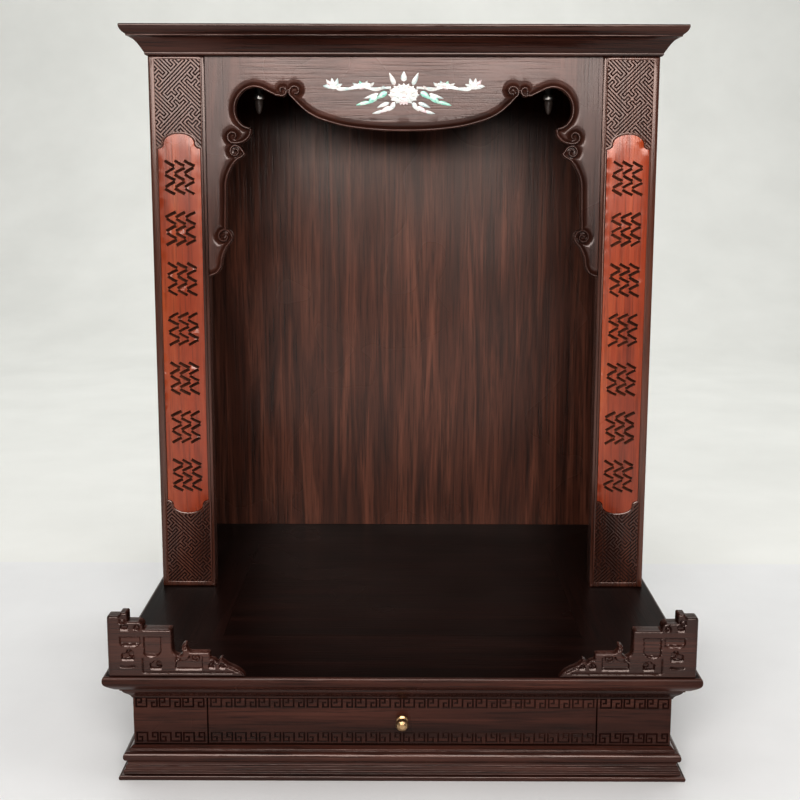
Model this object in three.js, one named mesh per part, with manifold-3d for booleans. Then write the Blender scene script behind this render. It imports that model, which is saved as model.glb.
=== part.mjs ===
// A household altar cabinet: a moulded base with one drawer, and above its ledge an
// open-fronted cabinet with carved posts, a scrolled apron and a cornice.
// Millimetres, +Z up, front towards -Y, origin under the middle of the outline.

import * as THREE from "three";
import { mergeVertices } from "three/addons/utils/BufferGeometryUtils.js";
import Module from "manifold-3d";

const wasm = await Module();
wasm.setup();

// ---------------------------------------------------------------- driving dimensions

const WIDTH = 610; // over the nosing of the ledge
const DEPTH = 600;
const HEIGHT = 788;
const BASE_HEIGHT = 117; // floor to the top of the ledge
const GAP = 0.3; // left between pieces that touch
const MITRE_GAP = 0.1;
const BOARD = 18;
const EMBED = 1; // how far a relief reaches into what carries it
const FRAME_REACH = 40; // how far the cutters of a frame reach past its slab

const LEDGE_OVERHANG = 25.7; // nosing beyond the body of the base
const LEDGE_THICKNESS = 18.4;
const LEDGE_SIDE_RAIL = 107;
const LEDGE_FRONT_RAIL = 124.6;
const LEDGE_BACK_RAIL = 113;
const UNDER_MOULDING = 13.4;
const PLINTH_HEIGHT = 34;
const PLINTH_WIDTH = 30;
const BOTTOM_BOARD = 12;
const GUIDE_WIDTH = 14;
const GUIDE_CLEARANCE = 2; // between a drawer guide and the ledge

const DRAWER_FRONT_HALF = 201.7;
const DRAWER_REVEAL = 1; // at each end of the drawer front
const DRAWER_FRONT_GAP = 0.8; // above and below the drawer front
const DRAWER_LENGTH = 420;
const DRAWER_WALL = 10;
const DRAWER_FLOOR = 5;
const DRAWER_SIDE_INSET = 1.5; // the sides stand in from the ends of the front
const DRAWER_SIDE_DROP = 4; // and end this far under the top of the body
const DRAWER_FLOOR_LIFT = 1;

const KEY_MARGIN = 3.2; // from a board's ends to the key fret on it
const KEY_WIDTH = 21.6;
const KEY_HEIGHT = 9;
const KEY_LINE = 1.7;
const KEY_DEPTH = 1;
const KEYS_ON_PANEL = 3;
const KEYS_ON_DRAWER = 16;

const POST_WIDTH = 64.7;
const POST_DEPTH = 24;
const POST_STRIP = 5; // plain strip beside the apron, up to the middle of a groove
const POST_GROOVE = 1.2; // wide and deep
const LATTICE_UNIT = 12.5;
const LATTICE_RIB = 2.6;
const LATTICE_DEPTH = 1.1;
const LATTICE_TOP = 635.5; // above the ledge
const LATTICE_FOOT = 6.5;
const LATTICE_SPACE = 4; // between the lattice and the straight sides' ends of the inset
const CABINET_HALF = 296.2;
const CABINET_FRONT = -1.7;
const CABINET_TOP = 754.3;
const BACK_BOARD = 10;
const CEILING_BOARD = 12;
const CORNICE_RAIL = 70;

const APRON_SETBACK = 3;
const APRON_THICKNESS = 15;
const BEAD = 2.6; // width of the raised line along the apron's cut edge
const BEAD_HEIGHT = 1.4;
const INLAY = 1.6; // depth of the pocket that the shell lies in

const FRET_LENGTH = 139;
const FRET_THICKNESS = 15;
const FRET_TIP_THICKNESS = 9; // of the low part, from FRET_TIP_START on
const FRET_TIP_START = 66;
const FRET_SETBACK = 1.5; // from the nosing's front
const FRET_INSET = 7; // from the nosing's side
const FRET_RECESS = 5; // depth of the sunk fields
const FRET_GROOVE = 1.8;
const FRET_GROOVE_DEPTH = 1.5;

const INSET_HALF = 24.5;
const INSET_THICKNESS = 4;
const INSET_RECESS = 0.4; // its face lies under the post's
const INSET_APEX = 549; // above the ledge, as the three that follow
const INSET_SHOULDER = 531;
const INSET_HEEL = 110.5;
const INSET_FOOT = 94;
const INSET_CENTRE_IN = 33.4; // from the cabinet's side to the inset's middle
const GROUPS = 7; // of strokes down the inset
const GROUP_PITCH = 59.7;
const GROUP_TOP = 499; // above the ledge
const GROUP_ROWS = 3;
const ROW_PITCH = 12.5;
const STROKE_HALF = 13;
const STROKE_LEAN = 2.2;
const STROKE_WIDTH = 3.6;
const STROKE_DEPTH = 1.2;

const halfWidth = WIDTH / 2;
const front = -DEPTH / 2;
const back = DEPTH / 2;
const bodyHalf = halfWidth - LEDGE_OVERHANG;
const bodyFront = front + LEDGE_OVERHANG;
const ledgeUnder = BASE_HEIGHT - LEDGE_THICKNESS;
const bodyTop = ledgeUnder - UNDER_MOULDING;
const cabinetBottom = BASE_HEIGHT + GAP;
const cabinetTop = CABINET_TOP - GAP;
const postInner = CABINET_HALF - POST_WIDTH;
const backFace = back - 0.6 - BACK_BOARD; // the inside face of the cabinet's back board

// ---------------------------------------------------------------- finishes

const FINISHES = {
  rosewood: { color: 0x35201a, roughness: 0.42, metalness: 0 },
  carvedRosewood: { color: 0x40281f, roughness: 0.45, metalness: 0 },
  backWood: { color: 0x4a2c20, roughness: 0.5, metalness: 0 },
  redWood: { color: 0xa5482a, roughness: 0.5, metalness: 0 },
  brass: { color: 0xc79a4e, roughness: 0.28, metalness: 1 },
  pearl: { color: 0xe8ece6, roughness: 0.2, metalness: 0 },
  lampMetal: { color: 0xbfbcb4, roughness: 0.25, metalness: 1 },
  lampGlass: { color: 0x8f8c88, roughness: 0.15, metalness: 0 },
};

const altar = new THREE.Group();
altar.name = "household_altar_cabinet";

// ---------------------------------------------------------------- solids

function toSolid(geometry) {
  geometry.deleteAttribute("normal");
  geometry.deleteAttribute("uv");
  const merged = mergeVertices(geometry, 1e-4);
  return new wasm.Manifold(new wasm.Mesh({
    numProp: 3,
    vertProperties: merged.attributes.position.array,
    triVerts: Uint32Array.from(merged.index.array),
  }));
}

function toGeometry(solid) {
  const mesh = solid.getMesh();
  const geometry = new THREE.BufferGeometry();
  geometry.setAttribute("position", new THREE.BufferAttribute(mesh.vertProperties, 3));
  geometry.setIndex(new THREE.BufferAttribute(mesh.triVerts, 1));
  return geometry;
}

function addPiece(name, solid, finish) {
  const mesh = new THREE.Mesh(toGeometry(solid), new THREE.MeshStandardMaterial(FINISHES[finish]));
  mesh.name = name;
  altar.add(mesh);
}

function box(x0, x1, y0, y1, z0, z1) {
  const geometry = new THREE.BoxGeometry(x1 - x0, y1 - y0, z1 - z0);
  geometry.translate((x0 + x1) / 2, (y0 + y1) / 2, (z0 + z1) / 2);
  return toSolid(geometry);
}

// A flat shape drawn in plan, standing from z0 to z1.
function planPrism(points, z0, z1) {
  const shape = new THREE.Shape(points.map(([x, y]) => new THREE.Vector2(x, y)));
  const geometry = new THREE.ExtrudeGeometry(shape, { depth: z1 - z0, bevelEnabled: false });
  geometry.translate(0, 0, z0);
  return toSolid(geometry);
}

// A flat shape drawn in elevation (x across, z up), from its front face to its back face.
function platePrism(points, y0, y1) {
  const shape = new THREE.Shape(points.map(([x, z]) => new THREE.Vector2(x, z)));
  const geometry = new THREE.ExtrudeGeometry(shape, { depth: y1 - y0, bevelEnabled: false });
  geometry.rotateX(Math.PI / 2);
  geometry.translate(0, y1, 0);
  return toSolid(geometry);
}

function joinAll(solids) {
  return solids.reduce((whole, solid) => whole.add(solid));
}

function cutAll(solid, cutters) {
  return cutters.reduce((rest, cutter) => rest.subtract(cutter), solid);
}

function mirrored(points) {
  return points.map(([x, z]) => [-x, z]);
}

// A ring of moulding seen in plan: rectangles stacked in z, each standing out from the
// body by its own amount at the front and both sides, and flush at the back.
function mouldedSlab(half, frontY, backY, profile) {
  const positions = [];
  for (const [out, z] of profile) {
    positions.push(-half - out, frontY - out, z, half + out, frontY - out, z);
    positions.push(half + out, backY, z, -half - out, backY, z);
  }
  const index = [0, 2, 1, 0, 3, 2];
  for (let level = 0; level + 1 < profile.length; level += 1) {
    for (let side = 0; side < 4; side += 1) {
      const a = level * 4 + side;
      const b = level * 4 + ((side + 1) % 4);
      index.push(a, b, b + 4, a, b + 4, a + 4);
    }
  }
  const top = (profile.length - 1) * 4;
  index.push(top, top + 1, top + 2, top, top + 2, top + 3);
  const geometry = new THREE.BufferGeometry();
  geometry.setAttribute("position", new THREE.BufferAttribute(new Float32Array(positions), 3));
  geometry.setIndex(index);
  return toSolid(geometry);
}

// The plan outlines that part such a slab into a mitred frame of rails. The side rails
// are "side" wide and run to the back; the front and back rails lie between them.
function framePlans(half, frontY, backY, side, frontRail, backRail) {
  const reach = FRAME_REACH;
  const g = MITRE_GAP / 2;
  const inner = half - side;
  const mitre = frontY + side;
  const flip = (points) => points.map(([x, y]) => [-x, y]);
  const left = [
    [-half - reach, frontY - reach + 2 * g],
    [-half - reach, backY + reach],
    [-inner - g, backY + reach],
    [-inner - g, mitre + g],
  ];
  return {
    left,
    right: flip(left).reverse(),
    front: [
      [-half - reach + 2 * g, frontY - reach],
      [half + reach - 2 * g, frontY - reach],
      [inner + g, mitre - 2 * g],
      [inner - g, mitre - g],
      [inner - g, frontY + frontRail],
      [-inner + g, frontY + frontRail],
      [-inner + g, mitre - g],
      [-inner - g, mitre - 2 * g],
    ],
    back: [
      [-inner + g, backY - backRail],
      [inner - g, backY - backRail],
      [inner - g, backY + reach],
      [-inner + g, backY + reach],
    ],
  };
}

function cutFrame(slab, plans, z0, z1) {
  const rails = {};
  for (const side of Object.keys(plans)) {
    rails[side] = slab.intersect(planPrism(plans[side], z0 - EMBED, z1 + EMBED));
  }
  return rails;
}

// ---------------------------------------------------------------- drawn lines

function arc(cx, cz, radius, from, to, steps) {
  const points = [];
  for (let i = 0; i <= steps; i += 1) {
    const angle = THREE.MathUtils.degToRad(from + ((to - from) * i) / steps);
    points.push([cx + radius * Math.cos(angle), cz + radius * Math.sin(angle)]);
  }
  return points;
}

// A volute: its radius shrinks evenly while it winds from one angle to another.
function volute(cx, cz, outer, inner, from, to, steps) {
  const points = [];
  for (let i = 0; i <= steps; i += 1) {
    const angle = THREE.MathUtils.degToRad(from + ((to - from) * i) / steps);
    const radius = outer + ((inner - outer) * i) / steps;
    points.push([cx + radius * Math.cos(angle), cz + radius * Math.sin(angle)]);
  }
  return points;
}

function smooth(points, steps) {
  const curve = new THREE.SplineCurve(points.map(([x, z]) => new THREE.Vector2(x, z)));
  return curve.getPoints(steps).map((point) => [point.x, point.y]);
}

// The outline of a line of even width drawn through the points, with mitred corners.
function ribbon(points, width) {
  const sides = [[], []];
  points.forEach(([x, z], i) => {
    const [px, pz] = points[Math.max(i - 1, 0)];
    const [nx, nz] = points[Math.min(i + 1, points.length - 1)];
    const before = new THREE.Vector2(x - px, z - pz).normalize();
    const after = new THREE.Vector2(nx - x, nz - z).normalize();
    const along = before.clone().add(after).normalize();
    const lean = Math.max(along.dot(i === 0 ? after : before), 0.5);
    const reach = width / 2 / lean;
    sides[0].push([x - along.y * reach, z + along.x * reach]);
    sides[1].unshift([x + along.y * reach, z - along.x * reach]);
  });
  return sides[0].concat(sides[1]);
}

// A V-shaped cutter along a line: "width" wide at the face y0 and "depth" deep at its
// keel. It also stands proud of the face, so that it cuts clean.
function wedge(points, width, y0, depth) {
  const rim = ribbon(points, (width * (depth + EMBED)) / depth);
  const count = points.length;
  const positions = rim.map(([x, z]) => [x, y0 - EMBED, z]);
  positions.push(...points.map(([x, z]) => [x, y0 + depth, z]));
  const left = (i) => i;
  const right = (i) => 2 * count - 1 - i;
  const keel = (i) => 2 * count + i;
  const index = [right(0), left(0), keel(0), left(count - 1), right(count - 1), keel(count - 1)];
  for (let i = 0; i + 1 < count; i += 1) {
    index.push(left(i), right(i), right(i + 1), left(i), right(i + 1), left(i + 1));
    index.push(left(i), left(i + 1), keel(i + 1), left(i), keel(i + 1), keel(i));
    index.push(right(i + 1), right(i), keel(i), right(i + 1), keel(i), keel(i + 1));
  }
  const geometry = new THREE.BufferGeometry();
  geometry.setAttribute("position", new THREE.BufferAttribute(new Float32Array(positions.flat()), 3));
  geometry.setIndex(index);
  return toSolid(geometry);
}

// ---------------------------------------------------------------- base

const plinthProfile = [
  [14.1, 0], [14.4, 2.6], [13, 5.2], [10.8, 5.8], [10.2, 8], [8.4, 9.4], [8, 13.4],
  [6.2, 16.8], [7.6, 19.2], [10, 22.4], [10, 25], [8, 27.6], [4.6, 28.2], [4.2, 30.4], [1, PLINTH_HEIGHT],
];
const underProfile = [[1.2, bodyTop], [2.2, bodyTop + 2.2], [5.6, bodyTop + 5.2], [9.8, bodyTop + 11.6],
  [11.3, bodyTop + 12], [11.3, ledgeUnder - GAP]];
const nosingProfile = [[12, ledgeUnder], [23, BASE_HEIGHT - 10.9], [25.4, BASE_HEIGHT - 8.4],
  [LEDGE_OVERHANG, BASE_HEIGHT - 5], [LEDGE_OVERHANG, BASE_HEIGHT - 1.6], [24.4, BASE_HEIGHT]];

function addPlinth() {
  const slab = mouldedSlab(bodyHalf, bodyFront, back, plinthProfile);
  const inner = PLINTH_WIDTH - LEDGE_OVERHANG / 2;
  const plans = framePlans(bodyHalf, bodyFront, back, inner, inner, inner);
  const rails = cutFrame(slab, plans, 0, PLINTH_HEIGHT);
  for (const side of Object.keys(rails)) {
    addPiece(`plinth_${side}`, rails[side], "rosewood");
  }
}

// One key of the running fret: two square hooks joined by a middle stroke.
function fretKey(x, z, width, height, up) {
  const path = [[0.25, 1], [0, 1], [0, 0], [0.5, 0], [0.5, 1], [1, 1], [1, 0], [0.75, 0]];
  return path.map(([u, v]) => [x + u * width, z + (up ? v : 1 - v) * height]);
}

const topKeys = bodyTop - 10;
const bottomKeys = PLINTH_HEIGHT + 3.2;

// Cuts two rows of keys, spread from x0 to x1, into a front board.
function cutKeyFret(board, x0, x1, count) {
  const pitch = (x1 - x0 - 2 * KEY_MARGIN - KEY_WIDTH) / (count - 1);
  const grooves = [];
  for (let i = 0; i < count; i += 1) {
    for (const [z, up] of [[topKeys, true], [bottomKeys, false]]) {
      const key = fretKey(x0 + KEY_MARGIN + i * pitch, z, KEY_WIDTH, KEY_HEIGHT, up);
      grooves.push(wedge(key, KEY_LINE, bodyFront, KEY_DEPTH));
    }
  }
  return cutAll(board, grooves);
}

function addBase() {
  const low = PLINTH_HEIGHT + GAP;
  const panelBack = bodyFront + BOARD;
  const inner = DRAWER_FRONT_HALF + DRAWER_REVEAL;
  for (const [name, x0, x1] of [["left", -bodyHalf, -inner], ["right", inner, bodyHalf]]) {
    const board = box(x0, x1, bodyFront, panelBack, low, bodyTop - GAP);
    addPiece(`base_panel_${name}`, cutKeyFret(board, x0, x1, KEYS_ON_PANEL), "rosewood");
  }

  const sideInner = bodyHalf - BOARD;
  const sideFront = panelBack + GAP;
  const sideTop = ledgeUnder - GAP;
  const sideBack = back - GAP;
  addPiece("base_side_left", box(-bodyHalf, -sideInner, sideFront, sideBack, low, sideTop), "rosewood");
  addPiece("base_side_right", box(sideInner, bodyHalf, sideFront, sideBack, low, sideTop), "rosewood");
  const backHalf = sideInner - GAP;
  const backFront = sideBack - BOARD;
  addPiece("base_back", box(-backHalf, backHalf, backFront, sideBack, low, sideTop), "rosewood");
  const bottomTop = low + BOTTOM_BOARD;
  addPiece("base_bottom", box(-backHalf, backHalf, sideFront, backFront - GAP, low, bottomTop), "rosewood");
  const outer = inner + GUIDE_WIDTH;
  const guideTop = ledgeUnder - GUIDE_CLEARANCE;
  for (const [name, x0, x1] of [["left", -outer, -inner], ["right", inner, outer]]) {
    const guide = box(x0, x1, sideFront, backFront - GAP, bottomTop + GAP, guideTop);
    addPiece(`drawer_guide_${name}`, guide, "rosewood");
  }
  return bottomTop;
}

function addUnderMoulding() {
  const slab = mouldedSlab(bodyHalf, bodyFront, back, underProfile);
  const g = MITRE_GAP / 2;
  const reach = FRAME_REACH;
  const skirt = (sign) => [
    [sign * (bodyHalf + reach), bodyFront - reach + 2 * g],
    [sign * (bodyHalf + reach), back + reach],
    [sign * (bodyHalf + GAP), back + reach],
    [sign * (bodyHalf + GAP), bodyFront + 2 * g - GAP],
  ];
  const railBack = bodyFront + BOARD;
  const rail = [
    [-bodyHalf - reach + 2 * g, bodyFront - reach],
    [bodyHalf + reach - 2 * g, bodyFront - reach],
    [bodyHalf, bodyFront - 2 * g],
    [bodyHalf, railBack],
    [-bodyHalf, railBack],
    [-bodyHalf, bodyFront - 2 * g],
  ];
  const cut = (plan) => slab.intersect(planPrism(plan, bodyTop - EMBED, ledgeUnder + EMBED));
  addPiece("ledge_moulding_front", cut(rail), "rosewood");
  addPiece("ledge_moulding_left", cut(skirt(-1).reverse()), "rosewood");
  addPiece("ledge_moulding_right", cut(skirt(1)), "rosewood");
}

function addLedge() {
  const slab = mouldedSlab(bodyHalf, bodyFront, back, nosingProfile);
  const side = LEDGE_SIDE_RAIL - LEDGE_OVERHANG;
  const frontRail = LEDGE_FRONT_RAIL - LEDGE_OVERHANG;
  const plans = framePlans(bodyHalf, bodyFront, back, side, frontRail, LEDGE_BACK_RAIL);
  const rails = cutFrame(slab, plans, ledgeUnder, BASE_HEIGHT);
  for (const place of Object.keys(rails)) {
    addPiece(`ledge_rail_${place}`, rails[place], "rosewood");
  }
  const half = halfWidth - LEDGE_SIDE_RAIL - GAP;
  const y0 = front + LEDGE_FRONT_RAIL + GAP;
  const y1 = back - LEDGE_BACK_RAIL - GAP;
  addPiece("ledge_panel", box(-half, half, y0, y1, ledgeUnder + 4, BASE_HEIGHT), "rosewood");
}

// ---------------------------------------------------------------- drawer

function addDrawer(floorTop) {
  const frontBack = bodyFront + BOARD;
  const low = PLINTH_HEIGHT + DRAWER_FRONT_GAP;
  const high = bodyTop - DRAWER_FRONT_GAP;
  const half = DRAWER_FRONT_HALF;
  const board = box(-half, half, bodyFront, frontBack, low, high);
  addPiece("drawer_front", cutKeyFret(board, -half, half, KEYS_ON_DRAWER), "rosewood");

  const outer = half - DRAWER_SIDE_INSET;
  const inner = outer - DRAWER_WALL;
  const bottom = floorTop + GAP;
  const top = bodyTop - DRAWER_SIDE_DROP;
  const y0 = frontBack + GAP;
  const y1 = frontBack + DRAWER_LENGTH;
  addPiece("drawer_side_left", box(-outer, -inner, y0, y1, bottom, top), "backWood");
  addPiece("drawer_side_right", box(inner, outer, y0, y1, bottom, top), "backWood");
  const between = inner - GAP;
  addPiece("drawer_back", box(-between, between, y1 - DRAWER_WALL, y1, bottom, top), "backWood");
  const floorEnd = y1 - DRAWER_WALL - GAP;
  const floorLow = bottom + DRAWER_FLOOR_LIFT;
  const floor = box(-between, between, y0, floorEnd, floorLow, floorLow + DRAWER_FLOOR);
  addPiece("drawer_bottom", floor, "backWood");

  const profile = [[0, 0], [5.5, 0], [5.5, 1.6], [3.1, 2.8], [2.9, 6], [5.2, 8], [7, 10.6],
    [6.9, 12.6], [5.6, 14.6], [3.2, 15.8], [0, 16.2]];
  const points = profile.map(([radius, out]) => new THREE.Vector2(radius, out));
  const knob = new THREE.LatheGeometry(points, 12);
  knob.rotateX(Math.PI);
  knob.translate(0, bodyFront - GAP, (low + high) / 2 + 1);
  addPiece("drawer_knob", toSolid(knob), "brass");
}

// ---------------------------------------------------------------- corner frets

// Drawn from the outer side (u) and up from the ledge (v).
const fretOutline = [
  [0, 0], [0, 61.5], [2, 64], [11.5, 64], [13.5, 67.5], [19.8, 67.5], [20.8, 66], [20.8, 58],
  [30.5, 58], ...arc(30.8, 52.4, 5.6, 55, -15, 2), [37, 49.8], [63.5, 49.8], [65, 48.3], [65, 29.5],
  [67, 25.5], [70, 23], [73.4, 22.6], [75.6, 25], [74.7, 29], [75.2, 33], [77.4, 35.6],
  [80.2, 35.2], [80.6, 31], [83.2, 26.2], [102.2, 26.2], [103.4, 24.9], [103.4, 19.3],
  [107, 18.6], [110.4, 15.5], [112.6, 19.4], [115.8, 20.4], [116.4, 17], [120.4, 13.6], [128, 10],
  [134, 6.3], [FRET_LENGTH, 0],
];
const fretFields = [
  [[12.8, 48.4], [21.5, 48.4], [21.5, 54], [12.8, 54]],
  [[13, 34.4], [20.8, 31.2], [33, 33.8], [33, 41.5], [13, 41.5]],
  [[14.6, 17.6], [26, 17.6], [26, 26.6], [19.8, 28.4], [14.6, 24]],
  [[36.5, 23.4], [40, 21.4], [44, 20.8], [48, 21.4], [54, 25.6], [54, 41.5], [36.5, 41.5]],
  [[42.7, 7.5], [54, 7.5], [54, 14], [49.5, 17.5], [42.7, 15]],
  [[68.4, 7.6], [95, 7.6], [95, 22.5], [82, 22.5], [80.4, 18.6], [70.5, 17.6]],
  [[102, 9], [108.6, 9], [108.6, 13.4], [102, 14.6]],
];
const fretGrooves = [
  [[35, 20], [35, 4.5], [126, 4.5]],
  [[12.5, 10.8], [26.5, 10.8]],
];

function addCornerFret(name, sign) {
  const y0 = front + FRET_SETBACK;
  const y1 = y0 + FRET_THICKNESS;
  const x = (u) => sign * (halfWidth - FRET_INSET - u);
  const place = (points) => points.map(([u, v]) => [x(u), cabinetBottom + v]);
  const fields = fretFields.map((field) => platePrism(place(field), y0 - EMBED, y0 + FRET_RECESS));
  const grooves = fretGrooves.map((line) => wedge(place(line), FRET_GROOVE, y0, FRET_GROOVE_DEPTH));
  const behindTip = [[FRET_TIP_START, -EMBED], [FRET_LENGTH + EMBED, -EMBED]];
  behindTip.push([FRET_LENGTH + EMBED, FRET_TIP_START], [FRET_TIP_START, FRET_TIP_START]);
  const thinning = platePrism(place(behindTip), y0 + FRET_TIP_THICKNESS, y1 + EMBED);
  const plate = platePrism(place(fretOutline), y0, y1);
  addPiece(name, cutAll(plate, [thinning, ...fields, ...grooves]), "carvedRosewood");
}

// ---------------------------------------------------------------- posts and insets

const insetCentre = CABINET_HALF - INSET_CENTRE_IN;
const notch = [[0, 0], [-5, 2], [-7, 7]]; // from the end of a straight side, inwards

// The inset's outline: straight sides, and at each end a low arch between concave notches.
function insetOutline(cx, grow) {
  const w = INSET_HALF + grow;
  const end = (shoulder, apex, up) => {
    const side = notch.map(([x, z]) => [w + x, shoulder + up * z]);
    const [crownHalf, crownFoot] = side[side.length - 1];
    const rise = apex - crownFoot;
    const crown = [0.62, 0.2].map((t) => [crownHalf * t, crownFoot + rise * Math.sqrt(1 - t * t)]);
    const half = [...side, ...crown];
    return [...half, ...mirrored(half).reverse()];
  };
  const top = end(BASE_HEIGHT + INSET_SHOULDER + grow, BASE_HEIGHT + INSET_APEX + grow, 1);
  const bottom = end(BASE_HEIGHT + INSET_HEEL - grow, BASE_HEIGHT + INSET_FOOT - grow, -1);
  return [...top, ...bottom.reverse()].map(([x, z]) => [cx + x, z]);
}

// Slanting ribs in both directions: each hooked cross of the lattice is two bent strokes.
function latticeRibs(x0, x1, z0, z1) {
  const strokes = [];
  const scale = Math.SQRT1_2 * LATTICE_UNIT;
  const turn = (x, z) => [(x - z) * scale, (x + z) * scale];
  const crosses = [[[1, -1], [1, 0], [-1, 0], [-1, 1]], [[1, 1], [0, 1], [0, -1], [-1, -1]]];
  const middle = [(x0 + x1) / 2, (z0 + z1) / 2];
  for (let i = -3; i <= 3; i += 1) {
    for (let j = -3; j <= 3; j += 1) {
      const [cx, cz] = [2 * (i - j), 2 * (i + j)];
      for (const bent of crosses) {
        strokes.push(bent.map(([x, z]) => {
          const [dx, dz] = turn(cx + x, cz + z);
          return [middle[0] + dx, middle[1] + dz];
        }));
      }
    }
  }
  return strokes;
}

function addPost(name, sign) {
  const y0 = CABINET_FRONT;
  const edges = [sign * CABINET_HALF, sign * postInner];
  const [x0, x1] = [Math.min(...edges), Math.max(...edges)];
  const cx = sign * insetCentre;
  let post = box(x0, x1, y0, y0 + POST_DEPTH, cabinetBottom, cabinetTop);

  const groove = sign * (postInner + POST_STRIP);
  const [g0, g1] = [groove - POST_GROOVE / 2, groove + POST_GROOVE / 2];
  const grooveFloor = y0 + POST_GROOVE;
  post = post.subtract(box(g0, g1, y0 - EMBED, grooveFloor, cabinetBottom - 1, cabinetTop + 1));
  const half = INSET_HALF + 1.2;
  const fields = [
    [LATTICE_FOOT, INSET_HEEL - LATTICE_SPACE],
    [INSET_SHOULDER + LATTICE_SPACE, LATTICE_TOP],
  ];
  const keepOut = platePrism(insetOutline(cx, 3.4), y0 - EMBED, y0 + 2 * LATTICE_DEPTH);
  for (const [low, high] of fields) {
    const z0 = BASE_HEIGHT + low;
    const z1 = BASE_HEIGHT + high;
    const ground = box(cx - half, cx + half, y0 - EMBED, y0 + LATTICE_DEPTH, z0, z1).subtract(keepOut);
    const ribs = latticeRibs(cx - half, cx + half, z0, z1)
      .filter((stroke) => stroke.some(([x, z]) => Math.abs(x - cx) < half && z > z0 && z < z1))
      .map((stroke) => platePrism(ribbon(stroke, LATTICE_RIB), y0 + GAP, y0 + 2 * LATTICE_DEPTH));
    post = post.subtract(ground.subtract(joinAll(ribs)));
  }
  post = post.subtract(platePrism(insetOutline(cx, GAP), y0 - EMBED, y0 + INSET_THICKNESS + GAP));
  addPiece(name, post, "carvedRosewood");
}

// A group of shallow slanting strokes, in rows that lean this way and that.
function groupStrokes(cx, cz) {
  const strokes = [];
  for (let row = 0; row < GROUP_ROWS; row += 1) {
    const z = cz + ((GROUP_ROWS - 1) / 2 - row) * ROW_PITCH;
    const lean = row % 2 === 0 ? STROKE_LEAN : -STROKE_LEAN;
    strokes.push([[cx - STROKE_HALF, z - lean], [cx + STROKE_HALF, z + lean]]);
  }
  return strokes;
}

function addInset(name, sign) {
  const y0 = CABINET_FRONT + INSET_RECESS;
  const cx = sign * insetCentre;
  let inset = platePrism(insetOutline(cx, 0), y0, CABINET_FRONT + INSET_THICKNESS);
  for (let i = 0; i < GROUPS; i += 1) {
    const cz = BASE_HEIGHT + GROUP_TOP - i * GROUP_PITCH;
    for (const stroke of groupStrokes(cx, cz)) {
      inset = inset.subtract(wedge(stroke, STROKE_WIDTH, y0, STROKE_DEPTH));
    }
  }
  addPiece(name, inset, "redWood");
}

// ---------------------------------------------------------------- apron

// Lines of the right half, across from the middle and up from the ledge. The bead runs
// along each of them, and the plate fills the side of them towards the cornice.
const tail = smooth([[230.6, 384], [222.5, 387.4], [217.6, 395], [215.8, 406], [211.4, 416.4],
  [205.8, 423.4]], 7);
const lowVolute = volute(212.6, 430, 9.6, 1.6, 205, -310, 16);
const upright = [[211.4, 438.8], [210, 492], ...smooth([[207.5, 502], [202.2, 513], [196.4, 519.8],
  [189.5, 524]], 4), [187, 527]];
const midVolute = volute(197.6, 529.2, 7.4, 1.2, 150, -380, 13);
const leafCurl = [...smooth([[179.2, 555.2], [180.4, 548.6], [184.6, 543.4], [190, 540.2],
  [196.4, 539]], 4), ...volute(199.8, 546.6, 7.8, 2.4, -90, 265, 9).slice(1)];
const arch = [...smooth([[180.4, 555.6], [187.2, 557.8], [192.4, 562], [196.6, 569], [197.9, 577],
  [196.7, 585.8], [192.3, 594.4], [184.9, 601], [175.4, 603.9], [165.9, 602.4], [156.6, 598],
  [148.4, 594]], 15)];
const archVolute = volute(141.6, 599, 6.2, 1.2, -50, -470, 11);
const lobe = [...smooth([[0, 554], [24, 554.5], [48.3, 556.4], [73, 560.2], [97.6, 567.4],
  [111.2, 574.4], [121.6, 583], [130, 591.6]], 11)];
const lobeVolute = volute(126.4, 598.4, 7.6, 1.6, -40, 330, 10);

// The cut edge from the post to the middle: the outer turns of the volutes are part of it.
function apronEdge() {
  return [
    ...tail, ...lowVolute.slice(0, 5), ...upright, ...midVolute.slice(0, 3),
    ...leafCurl.slice(0, 5).reverse(), ...arch, ...archVolute.slice(0, 4),
    ...lobeVolute.slice(0, 2).reverse(), ...lobe.slice().reverse(),
  ];
}

// A pointed oval from its stalk to its tip, grown by the same amount all round.
function petal([x0, z0], [x1, z1], width, grow) {
  const length = Math.hypot(x1 - x0, z1 - z0);
  const [dx, dz] = [(x1 - x0) / length, (z1 - z0) / length];
  const sides = [[], []];
  for (const [along, across] of [[0.35, 0.46], [0.72, 0.4]]) {
    const [x, z] = [x0 + along * length * dx, z0 + along * length * dz];
    const reach = across * width + grow;
    sides[0].push([x - dz * reach, z + dx * reach]);
    sides[1].unshift([x + dz * reach, z - dx * reach]);
  }
  const spare = grow * 1.6;
  return [[x0 - dx * spare, z0 - dz * spare], ...sides[0], [x1 + dx * spare, z1 + dz * spare], ...sides[1]];
}

// The lotus of shell: a round flower with three buds above, a stem with a small flower
// to each side, and two leaves below each stem.
function lotusShapes(grow) {
  const flower = [];
  for (let i = 0; i < 10; i += 1) {
    const angle = (i / 10) * 2 * Math.PI + Math.PI / 2;
    flower.push([(17.5 + grow) * Math.cos(angle), 595.5 + (12.5 + grow) * Math.sin(angle)]);
  }
  const half = [
    petal([6, 600], [16.6, 619.6], 6, grow),
    ribbon([[13, 600.5], [33, 601.2], [52, 604.6], [73, 599.9], [80, 602]], 3 + 2 * grow),
    petal([76, 599.5], [90, 611.5], 17, grow),
    petal([14, 597], [54.5, 582.6], 9, grow),
    petal([6, 588], [36.6, 573.4], 9, grow),
  ];
  return [flower, petal([0, 604], [0, 621.4], 7.6, grow), ...half, ...half.map(mirrored)];
}

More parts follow.
